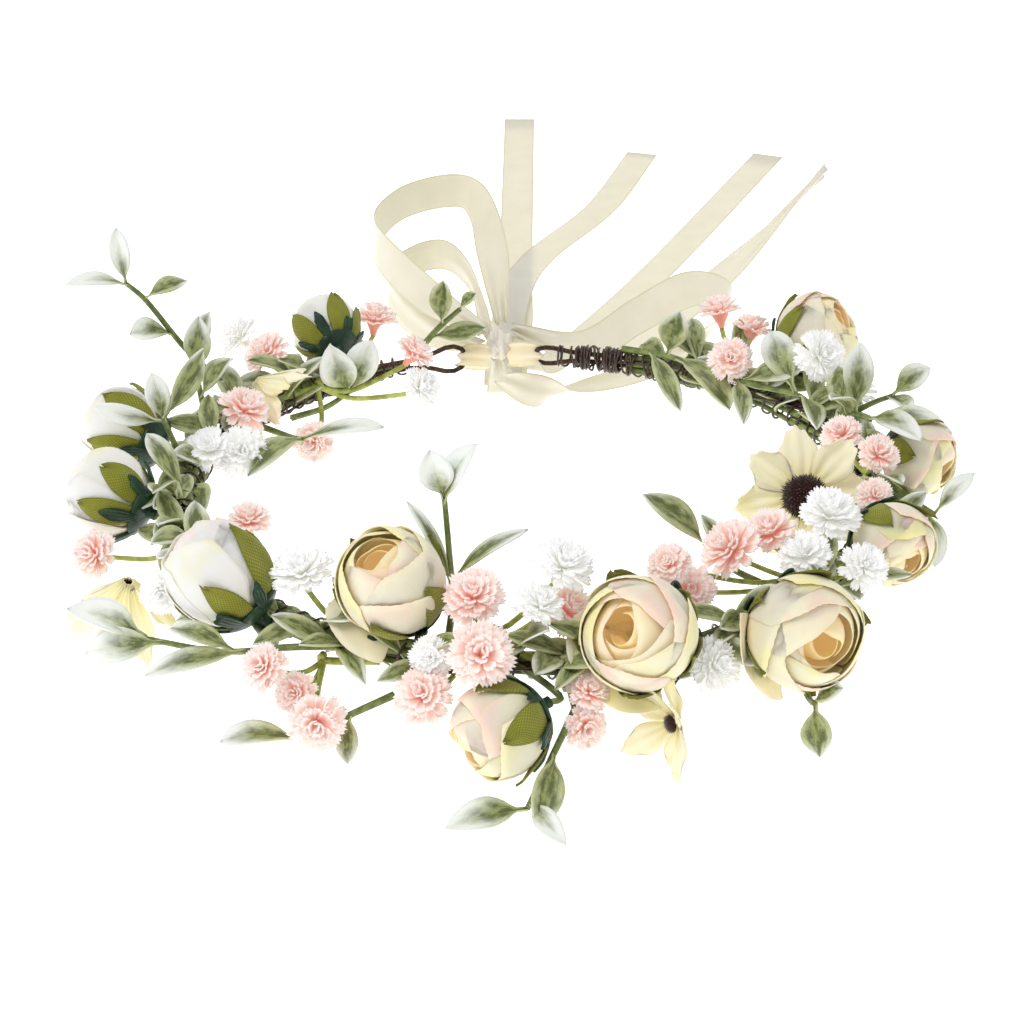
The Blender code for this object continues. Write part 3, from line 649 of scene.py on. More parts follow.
# fullness beside the solid one, openness in degrees, height beside width, the way the mouth leans,
# then loose petals as (direction, size, half width, top, flare)
ROSE_LOOKS = {
    "rose_01": (1.06, -8, 1.0, (0, 0, 1), []),
    "rose_02": (0.95, -8, 1.0, (-1, 0, 1), []),
    "rose_03": (0.95, -8, 1.0, (-1, 0, 1), []),
    "rose_04": (1.05, -9, 1.12, (-1, 0, 1), []),
    "rose_05": (1.12, 0, 1.08, (-0.5, -0.3, 1), [((-0.9, -0.2, -0.6), 1.12, 44, 80, 0.34)]),
    "rose_06": (1.12, 0, 1.0, (-1, -0.4, -0.5), []),
    "rose_07": (1.10, 7, 1.0, (-1, -0.5, 0), [((-1.0, -0.2, 0.0), 1.10, 32, 88, 0.2),
                                             ((-0.5, -0.5, -0.9), 1.11, 40, 82, 0.22)]),
    "rose_08": (1.10, 2, 1.0, (1, -0.5, -0.3), [((-1.0, -0.2, -0.5), 1.08, 50, 92, 0.2)]),
    "rose_09": (1.12, 2, 1.0, (0.6, -1, -0.4), []),
    "rose_10": (1.12, 2, 1.0, (0.8, -1, -0.4), []),
    "rose_11": (1.10, 4, 1.0, (1, -0.6, 0), []),
}
MOUTH_LEAN = 10.0          # degrees that the inner layers lean out of the middle
WHITE_ROSES = ("rose_01", "rose_02", "rose_03", "rose_04")
print("roses:", len(ROSE_LOOKS), " white:", len(WHITE_ROSES), " cloth, mm:", CLOTH / MM)


# %% Rose petals and sepals
def rose_petals(name, matrix, radius, openness, tall, mouth, loose, rng):
    bloom = Piece(name + "_bloom")
    turn = rng.uniform(0, 360)
    aside = math.radians(turn_towards(matrix, mouth) + 90)
    lean_axis = Vector((math.cos(aside), math.sin(aside), 0))
    for number, (count, size, half_width, top, tint, tilt, rise) in enumerate(ROSE_LAYERS):
        outer = number < 2
        for k in range(count):
            rim = min(top - openness + rng.uniform(-7, 5), HIGHEST_RIM)
            reach = radius * size * rng.uniform(0.988, 1.012)
            facing = turn + 360 * k / count + rng.uniform(-10, 10)
            wrap(bloom, reach, facing, half_width * rng.uniform(0.92, 1.08), rim, rng,
                 flare=0.03 if outer else 0.0, teeth=0.5 if outer else 0.0, tint=tint,
                 tilt=rng.uniform(-tilt, tilt), tall=tall, waves=0.012 if number < 4 else 0.05)
            bloom.points[-1] = bloom.points[-1] + np.array((0, 0, rise * radius))
            if not outer:
                bloom.points[-1] = turned(bloom.points[-1], MOUTH_LEAN, lean_axis)
        turn += 360 / count * LAYER_TURN
    # the wadding that the petals are glued round closes the bottom of the mouth
    wrap(bloom, radius * 0.62, 0, 180, 84, rng, foot=2, lean=0.0, flare=0.0, tint=1.0, tall=tall, waves=0.03)
    for direction, size, half_width, top, flare in loose:
        wrap(bloom, radius * size, turn_towards(matrix, direction), half_width, top, rng, flare=flare,
             teeth=0.5, lean=0.02, tall=tall)
    bloom.place(matrix)
    cloth = WHITE_CLOTH if name in WHITE_ROSES else IVORY_CLOTH
    return bloom.finish([cloth], "rose_cloth", [name + "_petals"], CLOTH)


def rose_sepals(name, matrix, radius, tall, rng):
    sepals = Piece(name + "_sepals")
    turn = rng.uniform(0, 72)
    for k in range(5):
        wrap(sepals, radius * rng.uniform(1.05, 1.08), turn + 72 * k + rng.uniform(-12, 12),
             rng.uniform(24, 31), rng.uniform(88, 112), rng, point=0.95, flare=rng.uniform(0.0, 0.14),
             teeth=0.35, lean=0.015, rows=14, columns=17, waves=0.02, tall=tall)
    sepals.place(matrix)
    return sepals.finish([SEPAL_CLOTH], "sepal_cloth", [name + "_calyx"], 1.1 * CLOTH)


print("petals and sepals ready")


# %% Rose cup and stem
def rose_cup(name, matrix, radius, tall, rng):
    """The plastic cup: a bowl, six fingers up the ball, and the stub that takes the stem."""
    cup = Piece(name + "_cup")
    reach = radius * 1.10
    cup.sheet(bowl(reach, -reach * tall, [4.0, 11, 19, 27, 35], 24), closed=True)
    start = rng.uniform(0, 60)
    for k in range(6):
        wrap(cup, reach, start + 60 * k, rng.uniform(10, 13), rng.uniform(56, 72), rng, foot=24, point=0.2,
             flare=0.03, lean=0.0, rows=9, columns=9, waves=0.0, tall=tall)
    stub = smooth_route([(0, 0, -reach * tall * share) for share in (0.96, 1.08, 1.2)], 3)
    tube(cup, stub, np.array([2.6, 2.5, 2.0, 1.7, 1.6, 1.6, 1.6]) * MM, 12)
    cup.place(matrix)
    return cup.finish([CUP_PLASTIC], "leaf_plastic", (), 0.7 * MM, 1.0)


def rose_stem(matrix, radius):
    """The stem from the cup to the ring, where it is bound in."""
    foot = matrix @ Vector((0, 0, -radius * 1.25))
    back = matrix.to_3x3() @ Vector((0, 0, -1))
    angle = math.degrees(math.atan2(foot.y, foot.x))
    route = [foot, foot + back * 4 * MM, on_ring(angle - 5, 0.5, 0.5), on_ring(angle - 13, 1, 0)]
    return smooth_route(route, 5)


print("cup and stem ready")

# %% Make the roses
STEM_ROUTES = []
for number, (name, (fullness, openness, tall, mouth, loose)) in enumerate(ROSE_LOOKS.items()):
    rng = np.random.default_rng(40 + number)
    matrix, half = head_frame(name + "_petals", name + "_calyx")
    radius = half * fullness
    rose_petals(name, matrix, radius, openness, tall, mouth, loose, rng)
    rose_sepals(name, matrix, radius, tall, rng)
    rose_cup(name, matrix, radius, tall, rng)
    STEM_ROUTES.append(rose_stem(matrix, radius))
    print(name, "across, mm:", round(2 * radius / MM, 1))

# %% [markdown]
# ## The cosmos
#
# A cosmos has eight flat petals with pleats along them and a wavy end. They are cut as one flower-shaped
# piece of cloth and pressed, so they share a middle. The pleats could be displaced from a flat petal, but
# as part of its formula they need fewer points. The heart is a flocked dome: a low dome covered with short
# tapered fibres that stand on end, real fibres and not bump, because they show against the petals.


# %% Cosmos petal and heart
def cosmos_petal(piece, length, turn, half_width, lift, rng, tint):
    v, u = grid(13, 15, 0.08)
    outline = (0.25 + 0.75 * smooth_step(v, 0.1, 0.62)) * (1 - 0.30 * smooth_step(v, 0.8, 1.0))
    side = u * half_width * outline
    notch = 0.03 * np.cos(3 * math.pi * u + rng.uniform(-0.8, 0.8)) - 0.20 * u ** 2
    out = length * v * (1 + notch * smooth_step(v, 0.55, 1.0))
    pleats = 0.030 * length * np.cos(3 * math.pi * u) * np.sin(math.pi * np.clip(v, 0, 1)) ** 0.7
    bend = lift * out + rng.uniform(-0.10, 0.12) * length * v ** 2.2
    cupping = 0.10 * length * u ** 2 * v * rng.uniform(0.2, 1.3)
    wave = 0.05 * length * np.sin(3.5 * u + rng.uniform(0, 6.3)) * v ** 2
    spots = np.stack([out, side, bend + pleats + cupping + wave], axis=-1)
    return piece.sheet(turned(spots, turn), rise=v, tint=tint, own=rng.uniform(0, 1))


GOLDEN_TURN = 2.39996      # radians from one fibre to the next, which spreads them evenly


def flock_heart(piece, radius, height, count, rng):
    """A dome with fibres standing on it."""
    piece.sheet(bowl(radius, height, [2.0, 25, 50, 75, 95], 20), rise=0.2, closed=True)
    for k in range(count):
        tilt, spin = math.acos(1 - k / count), k * GOLDEN_TURN
        way = np.array((math.sin(tilt) * math.cos(spin), math.sin(tilt) * math.sin(spin), math.cos(tilt)))
        foot = way * np.array((radius, radius, height))
        tip = foot + (way + rng.normal(0, 0.25, 3)) * radius * rng.uniform(0.12, 0.26)
        thin = radius * 0.045
        side = unit(np.cross(way, (0.3, 0.5, 0.8))) * thin
        over = unit(np.cross(way, side)) * thin
        ring = np.stack([foot + side, foot - 0.5 * side + over, foot - 0.5 * side - over])
        spots = np.stack([ring, ring * 0.15 + tip * 0.85, np.repeat(tip[None], 3, axis=0)])
        piece.sheet(spots, rise=np.array([[0.1], [0.8], [1.0]]), closed=True)


print("cosmos petal and heart ready")

# %% Make the cosmos
# spin, lift of the petals, how much that differs, share of the full length, heart radius mm, and for a
# flower that is pressed aside by its neighbours the way its face turns
COSMOS_LOOKS = {
    "cosmos_01": (8, 0.20, 0.16, 1.05, 6.0, None),
    "cosmos_02": (0, 0.34, 0.34, 1.12, 2.4, (-0.75, -0.5, 0.0)),
    "cosmos_03": (0, 1.25, 0.55, 1.0, 2.4, (-0.2, 0.25, -0.9)),
    "cosmos_04": (0, 0.80, 0.40, 1.0, 2.0, (0.7, -0.1, -0.6)),
}
for number, (name, (spin, lift, vary, share, heart, face)) in enumerate(COSMOS_LOOKS.items()):
    rng = np.random.default_rng(80 + number)
    matrix, half = head_frame(name + "_centre", name + "_petals", spin)
    if face:
        matrix = frame_at(matrix.translation, Vector(face).normalized(), spin)
    petals_low, petals_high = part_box(name + "_petals")
    matrix.translation = 0.5 * (petals_low + petals_high)
    length = 0.5 * max(petals_high - petals_low) * share
    bloom = Piece(name + "_bloom")
    for k in range(8):
        cosmos_petal(bloom, length * rng.uniform(0.94, 1.04), 45 * k + rng.uniform(-4, 4),
                     length * 0.285, lift + rng.uniform(-vary, vary), rng, tint=0.0 if k % 2 else 0.06)
    bloom.place(matrix @ Matrix.Translation((0, 0, -0.12 * length)))
    bloom.finish([COSMOS_CLOTH], "cosmos_cloth", [name + "_petals"], CLOTH)
    eye = Piece(name + "_heart")
    wide_open = heart > 4
    flock_heart(eye, heart * MM, 0.55 * heart * MM, 260 if wide_open else 90, rng)
    eye.place(matrix @ Matrix.Translation((0, 0, 0.0 if wide_open else 0.07 * length)))
    eye.finish([FLOCK], "flock", [name + "_centre"])
    print(name, "petal length, mm:", round(length / MM, 1))

# %% [markdown]
# ## Filler heads
#
# The small pink and white heads are moulded to look like a clipped carnation: a funnel, and rings of
# narrow fingers that fan out of it and end in blunt, notched tips. They stand on thin lime-green stems
# that meet at a hub bound to the ring. Hair would be quick to grow there, but it has no notches, so every
# finger is a small sheet of its own.


# %% Filler head
def finger(piece, length, half_width, turn, pitch, rng, tint):
    """One fringed finger of a head, from the funnel outwards."""
    v, u = grid(6, 7)
    wide = half_width * (0.20 + 0.80 * v ** 1.2)
    blunt = 1 - 0.07 * u ** 2 + 0.06 * np.cos(3 * math.pi * u)
    out = length * v * (1 + (blunt - 1) * smooth_step(v, 0.5, 1.0))
    bow = rng.uniform(-0.14, 0.10)
    angle = math.radians(pitch)
    along = out * math.cos(angle) - bow * length * v ** 2 * math.sin(angle)
    rise = out * math.sin(angle) + bow * length * v ** 2 * math.cos(angle)
    trough = 0.5 * half_width * (u ** 2 - 0.4) * v
    spots = np.stack([along - trough * math.sin(angle), u * wide, rise + trough * math.cos(angle)], axis=-1)
    return piece.sheet(turned(spots, turn), tint=tint)


FINGER_THICKNESS = 0.4 * MM
FINGER_HALF_WIDTH = 0.19   # of the head's half width
FUNNEL_RISE = 0.35         # the funnel keeps the deeper colour of the heart
# fingers in a ring, their pitch in degrees, and their share of the head's half width
HEAD_LAYERS = [(13, 6, 1.0), (13, 22, 1.0), (11, 40, 0.97), (8, 58, 0.93), (5, 76, 0.88), (1, 90, 0.8)]


def filler_head(centre, axis, size, rng, finish):
    """A head whose fingers fan from the funnel's mouth. size is its width in metres."""
    head = Piece("head")
    reach = 0.5 * size
    for count, pitch, share in HEAD_LAYERS:
        start = rng.uniform(0, 360)
        for k in range(count):
            size_of_finger = reach * share * rng.uniform(0.92, 1.05)
            facing = start + 360 * k / count + rng.uniform(-7, 7)
            finger(head, size_of_finger, FINGER_HALF_WIDTH * reach, facing,
                   pitch + rng.uniform(-7, 7), rng, rng.uniform(0, 1))
    funnel = [(0, 0, share * reach) for share in (-0.62, -0.4, -0.05, 0.12)]
    tube(head, funnel, [share * reach for share in (0.10, 0.16, 0.36, 0.30)], 10)
    head.values["rise"][-1] = head.values["rise"][-1] * FUNNEL_RISE
    head.place(frame_at(centre, axis))
    head.finishes = [finish] * len(head.finishes)
    return head


print("fingers in a head:", sum(layer[0] for layer in HEAD_LAYERS))

# %% Sprays
PINK, WHITE, STALK = 0, 1, 2
# Each spray: its hub on the ring as (angle, out, up), and its heads as
# (colour, x, y, z, width) in millimetres from the ring's centre.
SPRAYS = {
    "spray_back_left": ((133, -4, 2.5), [
        (PINK, -81, 73, 12, 15), (PINK, -49, 102, 11, 14), (PINK, -36, 80, 9, 13), (WHITE, -91, 90, 10, 15),
        (WHITE, -34, 72, 1, 14), (PINK, -65, 42, -3, 13)]),
    "spray_left": ((160, -6, -3), [
        (PINK, -86, 38, 9, 16), (WHITE, -94, 17, 6, 15), (WHITE, -85, 18, 5, 16)]),
    "spray_left_outer": ((196, 4, -4), [
        (PINK, -123, -28, -5, 14), (WHITE, -100, -63, 2, 13), (PINK, -80, -18, 0, 13)]),
    "spray_left_front": ((238, 3, -6), [
        (PINK, -69, -105, 2, 13), (PINK, -61, -101, -8, 12), (PINK, -55, -116, -8, 16)]),
    "spray_front": ((262, -5, 5), [
        (PINK, -27, -113, -2, 16), (PINK, -14, -97, 18, 17), (PINK, -12, -116, 12, 18),
        (PINK, 10, -89, 10, 16), (WHITE, 9, -93, 25, 17), (WHITE, 3, -100, 17, 14),
        (WHITE, -25, -107, 6, 12)]),
    "spray_front_low": ((276, 6, -4), [
        (PINK, 16, -110, -3, 12), (PINK, 15, -113, -11, 12), (WHITE, 49, -97, -2, 16)]),
    "spray_front_left_up": ((240, 0, 6), [(WHITE, -60, -80, 16, 17)]),
    "spray_right_front": ((324, 0, 5), [
        (PINK, 38, -85, 22, 12), (PINK, 44, -79, 11, 14), (PINK, 56, -66, 16, 18), (PINK, 67, -56, 16, 15),
        (WHITE, 76, -64, 13, 15), (WHITE, 84, -46, 16, 18), (WHITE, 91, -68, 12, 14)]),
    "spray_right": ((4, 0, 4), [
        (PINK, 93, 12, 13, 13), (PINK, 102, -1, 13, 13), (PINK, 98, -31, 15, 11), (WHITE, 99, 44, 12, 14)]),
    "spray_back_right": ((50, 2, 6.5), [
        (PINK, 62, 103, 13, 14), (PINK, 71, 89, 13, 13), (PINK, 63, 65, 14, 14), (WHITE, 89, 54, 20, 17)]),
}
print("sprays:", len(SPRAYS))


# %% Make the sprays
def make_spray(name, hub_at, heads, seed):
    rng = np.random.default_rng(seed)
    hub = on_ring(*hub_at)
    spray = Piece(name + "_heads")
    root = on_ring(hub_at[0] + 9, 1, hub_at[2] * 0.5)
    tube(spray, smooth_route([root, hub, hub + UP * 2 * MM], 4), 0.9 * MM, finish=STALK)
    for kind, x, y, z, width in heads:
        place = Vector((x, y, z)) * MM
        span = place - hub
        outward = Vector((x, y, 0)).normalized()
        axis = (span.normalized() * 0.7 + UP * 0.75 + outward * 0.15 + Vector((0, -0.45, 0))
                + Vector(rng.normal(0, 0.22, 3).tolist())).normalized()
        spray.join(filler_head(place, axis, width * MM, rng, kind))
        seat = place - axis * 0.25 * width * MM
        bend = hub.lerp(seat, 0.5) - (UP * 0.04 + axis * 0.16) * span.length
        route = smooth_route([hub, bend, seat - axis * 1.5 * MM, seat], 5)
        tube(spray, route, np.linspace(0.62, 0.5, len(route)) * MM, 7, ribs=0.08, finish=STALK)
    return spray.finish([FILLER_PINK, FILLER_WHITE, FILLER_STEM], "pink_plastic", solids_of(name),
                        FINGER_THICKNESS)


for number, (name, (hub_at, heads)) in enumerate(SPRAYS.items()):
    make_spray(name, hub_at, heads, 200 + number)
    print(name, "heads:", len(heads))

# %% [markdown]
# ## Leaves and sprigs
#
# A leaf is a pointed oval with a fold along its middle rib, a slight twist and a soft plastic thickness.
# A sprig is a ribbed stem with leaves in pairs. Where the solid model has a sprig, its stem and leaves
# repeat that one's places. Smaller leaves fill the band between the flowers. One leaf could be modelled
# and copied, but copies look alike, so a formula draws each with its own bend, tip and dusting.


# %% Leaf
UPWARD_AND_FORWARD = (0, -0.45, 0.9)
LEAF_BOW = 0.10            # how far a leaf arches, beside its length


def leaf(piece, foot, tip, width, frost, rng, face=UPWARD_AND_FORWARD):
    """A leaf from its foot to its tip, in metres. face is the way its upper side turns."""
    foot, tip = np.array(foot, float), np.array(tip, float)
    length = np.linalg.norm(tip - foot)
    along = (tip - foot) / length
    normal = np.array(face, float) + rng.normal(0, 0.18, 3)
    normal = unit(normal - along * normal.dot(along))
    side = np.cross(along, normal)
    v, u = grid(16, 9)
    blade = np.clip((v - 0.14) / 0.86, 0, 1)
    tip_power = rng.uniform(0.62, 0.95)
    full = 0.9 / (0.9 + tip_power)
    oval = blade ** 0.9 * (1 - blade) ** tip_power / (full ** 0.9 * (1 - full) ** tip_power)
    half = 0.52 * width * np.maximum(oval, 0.13 * (1 - v) + 0.015)
    bow = LEAF_BOW * length * np.sin(math.pi * v) + rng.uniform(-0.05, 0.05) * length * v ** 2
    fold = 0.32 * half * np.abs(u) ** 1.3
    wave = 0.06 * width * np.sin(6 * v + rng.uniform(0, 6.3)) * u
    spots = (foot + along * (v * length)[..., None] + side * (u * half)[..., None]
             + normal * (bow + fold + wave)[..., None])
    return piece.sheet(spots, tint=frost, own=rng.uniform(0, 1))


def make_sprig(name, root_at, bends, leaves, seed, face):
    """root_at is on the ring; bends and leaf tips are millimetres from the root. A leaf is
    (share of the stem, tip, width, share of white dusting)."""
    rng = np.random.default_rng(seed)
    root = on_ring(*root_at)
    route = smooth_route([root] + [root + Vector(b) * MM for b in bends], 8)
    stalk = Piece(name + "_stem")
    tube(stalk, route, np.linspace(1.0 * MM, 0.72 * MM, len(route)), 10, ribs=0.10)
    blades = Piece(name + "_leaves")
    for share, tip, width, frost in leaves:
        spot = share * (len(route) - 1)
        lower = min(int(spot), len(route) - 2)
        start = route[lower] + (route[lower + 1] - route[lower]) * (spot - lower)
        leaf(blades, start, root + Vector(tip) * MM, width * MM, frost, rng, face)
    blades.finish([LEAF_PLASTIC], "leaf_plastic", solids_of(name), 0.55 * MM)
    stalk.finish([STEM_PLASTIC], "leaf_plastic")


print("leaf and sprig ready")

# %% Sprigs
# root on the ring as (angle, out, up), bends of the stem, and leaves
SPRIGS = {
    "sprig_back_left_tall": (
        (146, 10, 5), [(-13, 0, 13), (-25, 0, 30), (-31, 0, 36)],
        [(1.0, (-33, -1, 55), 6, 0.75), (0.97, (-48, -11, 40), 6, 0.8), (0.45, (-30, -5, 22), 9, 0.5),
         (0.3, (-6, -1, 27), 7, 0.3), (0.7, (-13, 6, 34), 6, 0.2)]),
    "sprig_left": (
        (172, 4, 4), [(-2, -1, 8), (-4, -3, 15)],
        [(1.0, (7, 10, 32), 7, 0.15), (0.95, (-23, -7, 21), 6, 0.75), (0.9, (-7, 1, 28), 7, 0.6)]),
    "sprig_inner_left": (
        (141, -6, -3), [(10, 10, -1), (17, 17, 1)],
        [(1.0, (12, 10, 20), 11, 0.55), (0.97, (25, 17, 19), 10, 0.55)]),
    "sprig_back": (
        (109, 2, 5), [(5, -2, 7), (12, -3, 14)],
        [(0.6, (7, -3, 24), 7, 0.05), (1.0, (17, -4, 20), 4, 0.05), (0.25, (20, 1, 6), 6, 0.05)]),
    "sprig_front_tall": (
        (257, -7, 3), [(1, 5, 9), (0, 11, 22), (-1, 13, 35)],
        [(1.0, (-5, 13, 49), 9, 0.75), (0.96, (7, 13, 51), 8, 0.7), (0.45, (21, 13, 26), 5, 0.45),
         (0.4, (-11, 15, 33), 4, 0.4)]),
    "sprig_inner_right": (
        (316, -11, 4), [(-8, 1, 4), (-15, 3, 9)],
        [(0.97, (-32, 3, 26), 8, 0.1), (0.6, (-16, 6, 18), 5, 0.2)]),
    "sprig_right": (
        (3, 3, 4), [(8, -6, -4), (16, -12, -7)],
        [(1.0, (28, -6, 3), 6, 0.75), (0.9, (15, -25, -18), 8, 0.6)]),
    "sprig_left_front": (
        (242, 6, 2), [(-14, 1, -1), (-32, 4, -4), (-53, 11, -4)],
        [(1.0, (-74, 14, 4), 11, 0.75), (0.92, (-69, 8, -7), 10, 0.6), (0.55, (-52, -1, -9), 7, 0.45),
         (0.6, (-46, 6, 2), 7, 0.3)]),
    "sprig_front_low": (
        (277, 7, -9), [(-6, -17, -4), (-13, -30, -13)],
        [(0.5, (-10, -38, -14), 8, 0.1), (1.0, (-34, -38, -14), 9, 0.55), (0.95, (-3, -46, -14), 6, 0.7)]),
    "sprig_right_front": (
        (313, 5, -9), [(4, -14, -6), (5, -25, -2)],
        [(1.0, (6, -34, -13), 8, 0.2), (0.9, (12, -27, 4), 7, 0.3)]),
    "sprig_gap_right": (
        (72, -1, 5), [(14, -8, 1), (27, -19, 1)],
        [(0.5, (18, -5, 15), 9, 0.2), (0.6, (32, -40, -3), 10, 0.05), (0.3, (17, -36, -5), 6, 0.1),
         (0.97, (46, -27, -2), 7, 0.15)]),
    "sprig_left_upright": (
        (157, 6, 4), [(-2, 4, 8), (-3, 7, 13)],
        [(1.0, (-2, 9, 31), 8, 0.35), (0.4, (9, 4, 19), 8, 0.2)]),
    "sprig_back_right": (
        (24, 6, 5), [(8, -1, 5), (14, -2, 8)],
        [(1.0, (25, -2, 17), 8, 0.45), (0.9, (18, -9, 6), 9, 0.45)]),
    "sprig_bottom_left": (
        (251, 8, -8), [(-14, -6, -4), (-24, -8, -9)],
        [(1.0, (-46, -6, -11), 9, 0.45), (0.4, (-12, -14, -13), 6, 0.3)]),
    "sprig_left_low": (
        (150, -4, 0), [(10, -8, 0), (15, -13, 1)],
        [(1.0, (1, -41, 4), 9, 0.15), (0.95, (40, -15, 6), 6, 0.7)]),
    "sprig_back_right_low": (
        (52, -3, 6), [(6, -16, 3), (20, -24, 3), (24, -27, 3)],
        [(0.3, (6, -39, -2), 6, 0.2), (0.35, (25, -20, 9), 8, 0.35), (0.85, (16, -8, 16), 10, 0.45),
         (1.0, (27, -50, 2), 7, 0.2)]),
    "sprig_right_upright": (
        (22, 2, 8), [(4, -6, 3), (8, -14, 5)],
        [(0.3, (0, 9, 12), 8, 0.1), (0.5, (6, 6, 21), 9, 0.5), (1.0, (19, -43, 12), 8, 0.5),
         (0.4, (-4, -15, 12), 8, 0.2), (0.9, (31, -23, 6), 8, 0.55)]),
}
FACING_FRONT = {"sprig_inner_left": (0, -1, 0.25), "sprig_left": (0.2, -1, 0.3)}
for number, (name, (root_at, bends, leaves)) in enumerate(SPRIGS.items()):
    make_sprig(name, root_at, bends, leaves, 300 + number, FACING_FRONT.get(name, UPWARD_AND_FORWARD))
print("sprigs:", len(SPRIGS))

# %% Leaves in the band
# ring angle from, ring angle to, how many leaves
BAND_RUNS = [(124, 160, 30), (160, 200, 22), (200, 235, 14), (235, 270, 16), (270, 300, 14), (300, 345, 34),
             (345, 380, 18), (380, 424, 28)]


def band_leaves(name, start, end, count, seed):
    rng = np.random.default_rng(seed)
    blades = Piece(name)
    for k in range(count):
        angle = start + (end - start) * (k + rng.uniform(0, 1)) / count
        foot = on_ring(angle, rng.uniform(-2, 3), rng.uniform(-4, 3))
        plan = angle + rng.choice((-1, 1)) * rng.uniform(40, 100) + rng.uniform(-30, 30)
        way = towards(plan, rng.uniform(-12, 42))
        length = rng.uniform(14, 25) * MM
        tip = foot + way * length
        tip.z = max(tip.z, TABLE + 4 * MM)
        leaf(blades, foot, tip, rng.uniform(5, 8) * MM, rng.uniform(-0.1, 0.35), rng)
    return blades.finish([LEAF_PLASTIC], "leaf_plastic", (), 0.5 * MM)


for number, (start, end, count) in enumerate(BAND_RUNS):
    band_leaves(f"band_leaves_{number + 1}", start, end, count, 500 + number)
print("leaves in the band:", sum(run[2] for run in BAND_RUNS))

# %% [markdown]
# ## The stem bundle and the wires
#
# Every flower's stem is laid along the ring and bound to it, so the band is a rope of olive stems with
# dark wire round it. Five strands wander slowly round the ring line, and the binding wire winds over
# them: loosely along the front, and in many close, untidy turns beside the two wire loops. An even screw
# would look made by a machine, so each turn drifts a little from the last.

# %% Stem bundle
BUNDLE_START, BUNDLE_END = 121, 431
BUNDLE_REACH = 2.3


def strand(phase, twist, wander, seed, start=BUNDLE_START, end=BUNDLE_END, reach=BUNDLE_REACH):
    rng = np.random.default_rng(seed)
    offsets = rng.uniform(0, 6.3, 3)
    route = []
    for angle in np.arange(start, end + 0.1, 2.0):
        turn = math.radians(phase + twist * (angle - start))
        away = reach * (1 + 0.25 * math.sin(0.11 * angle + offsets[0]))
        away = away + wander * math.sin(0.23 * angle + offsets[1])
        route.append(on_ring(angle, away * math.cos(turn), away * math.sin(turn)))
    return np.array(route)


bundle = Piece("stem_bundle")
for k in range(5):
    tube(bundle, strand(72 * k, 2.2 + 0.7 * k, 0.5, 600 + k), (1.15 if k % 2 else 0.9) * MM, 8, ribs=0.1)
for route in STEM_ROUTES:
    tube(bundle, route, 0.9 * MM, 8, ribs=0.1)
bundle.finish([STEM_PLASTIC], "leaf_plastic")
print("stems in the bundle:", 5 + len(STEM_ROUTES))

# %% Binding wire
loose_wires = Piece("loose_wires")
for k in range(4):
    route = strand(90 * k + 40, 5.5 - 1.7 * k, 0.9, 650 + k, 118, 434, 2.9)
    tube(loose_wires, route, 0.45 * MM, 6)
loose_wires.finish([BINDING_LACQUER], "brown_wire")


POINTS_IN_A_TURN = 10
BINDING_RADIUS = 0.36 * MM


def winding(piece, start, end, turns, reach, untidy, seed):
    """Thin wire wound round the bundle between two ring angles."""
    rng = np.random.default_rng(seed)
    count = int(turns * POINTS_IN_A_TURN)
    drift = np.cumsum(rng.normal(0, untidy, count + 1))
    swell = rng.normal(0, 0.35 * untidy, count + 1)
    route = []
    for k in range(count + 1):
        turn = 2 * math.pi * k / POINTS_IN_A_TURN + 0.15 * drift[k]
        angle = start + (end - start) * k / count + 0.35 * drift[k]
        away = reach + swell[k]
        route.append(on_ring(angle, away * math.cos(turn), away * math.sin(turn)))
    return tube(piece, smooth_route(route, 2), BINDING_RADIUS, 6)


# ring angle from, ring angle to, turns, reach from the ring line in millimetres
BACK_WINDINGS = {
    "binding_wire_left": [(119, 132, 10, 3.4), (126, 143, 9, 3.9), (112, 122, 4, 3.0)],
    "binding_wire_right": [(84, 74, 14, 3.2), (80, 70, 12, 3.8), (72, 58, 8, 4.2)],
}
for name, runs in BACK_WINDINGS.items():
    coil = Piece(name + "_coil")
    for number, (start, end, turns, reach) in enumerate(runs):
        winding(coil, start, end, turns, reach, 0.5, 700 + number)
    coil.finish([BINDING_LACQUER], "brown_wire", [name])

front_coil = Piece("binding_wire_band")
for number, start in enumerate(range(143, 420, 23)):
    winding(front_coil, start, start + 22, 7.0, 3.9, 0.45, 720 + number)
front_coil.finish([BINDING_LACQUER], "brown_wire")

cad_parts["base_wire"].data.materials.clear()
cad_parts["base_wire"].data.materials.append(PAPER_WIRE)
print("windings done")

# %% [markdown]
# ## The ribbon
#
# Two lengths of 12 mm satin go through the wire loops and are tied together in one bow. A strip of ribbon
# is a grid along a smooth route with its width given at each point, so it can turn on edge and fold. It
# is modelled and not simulated, because a bow holds its shape by its knot and its own stiffness, and its
# folds have to come where a florist left them. The routes are the solid model's own.

# %% Ribbon routes
knot_low, knot_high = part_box("bow_knot")
KNOT = 0.5 * (knot_low + knot_high)
SATIN_THICKNESS = 0.22 * MM
LYING_FROM = 2             # a tail's height is from the knot up to this point, and then from the table

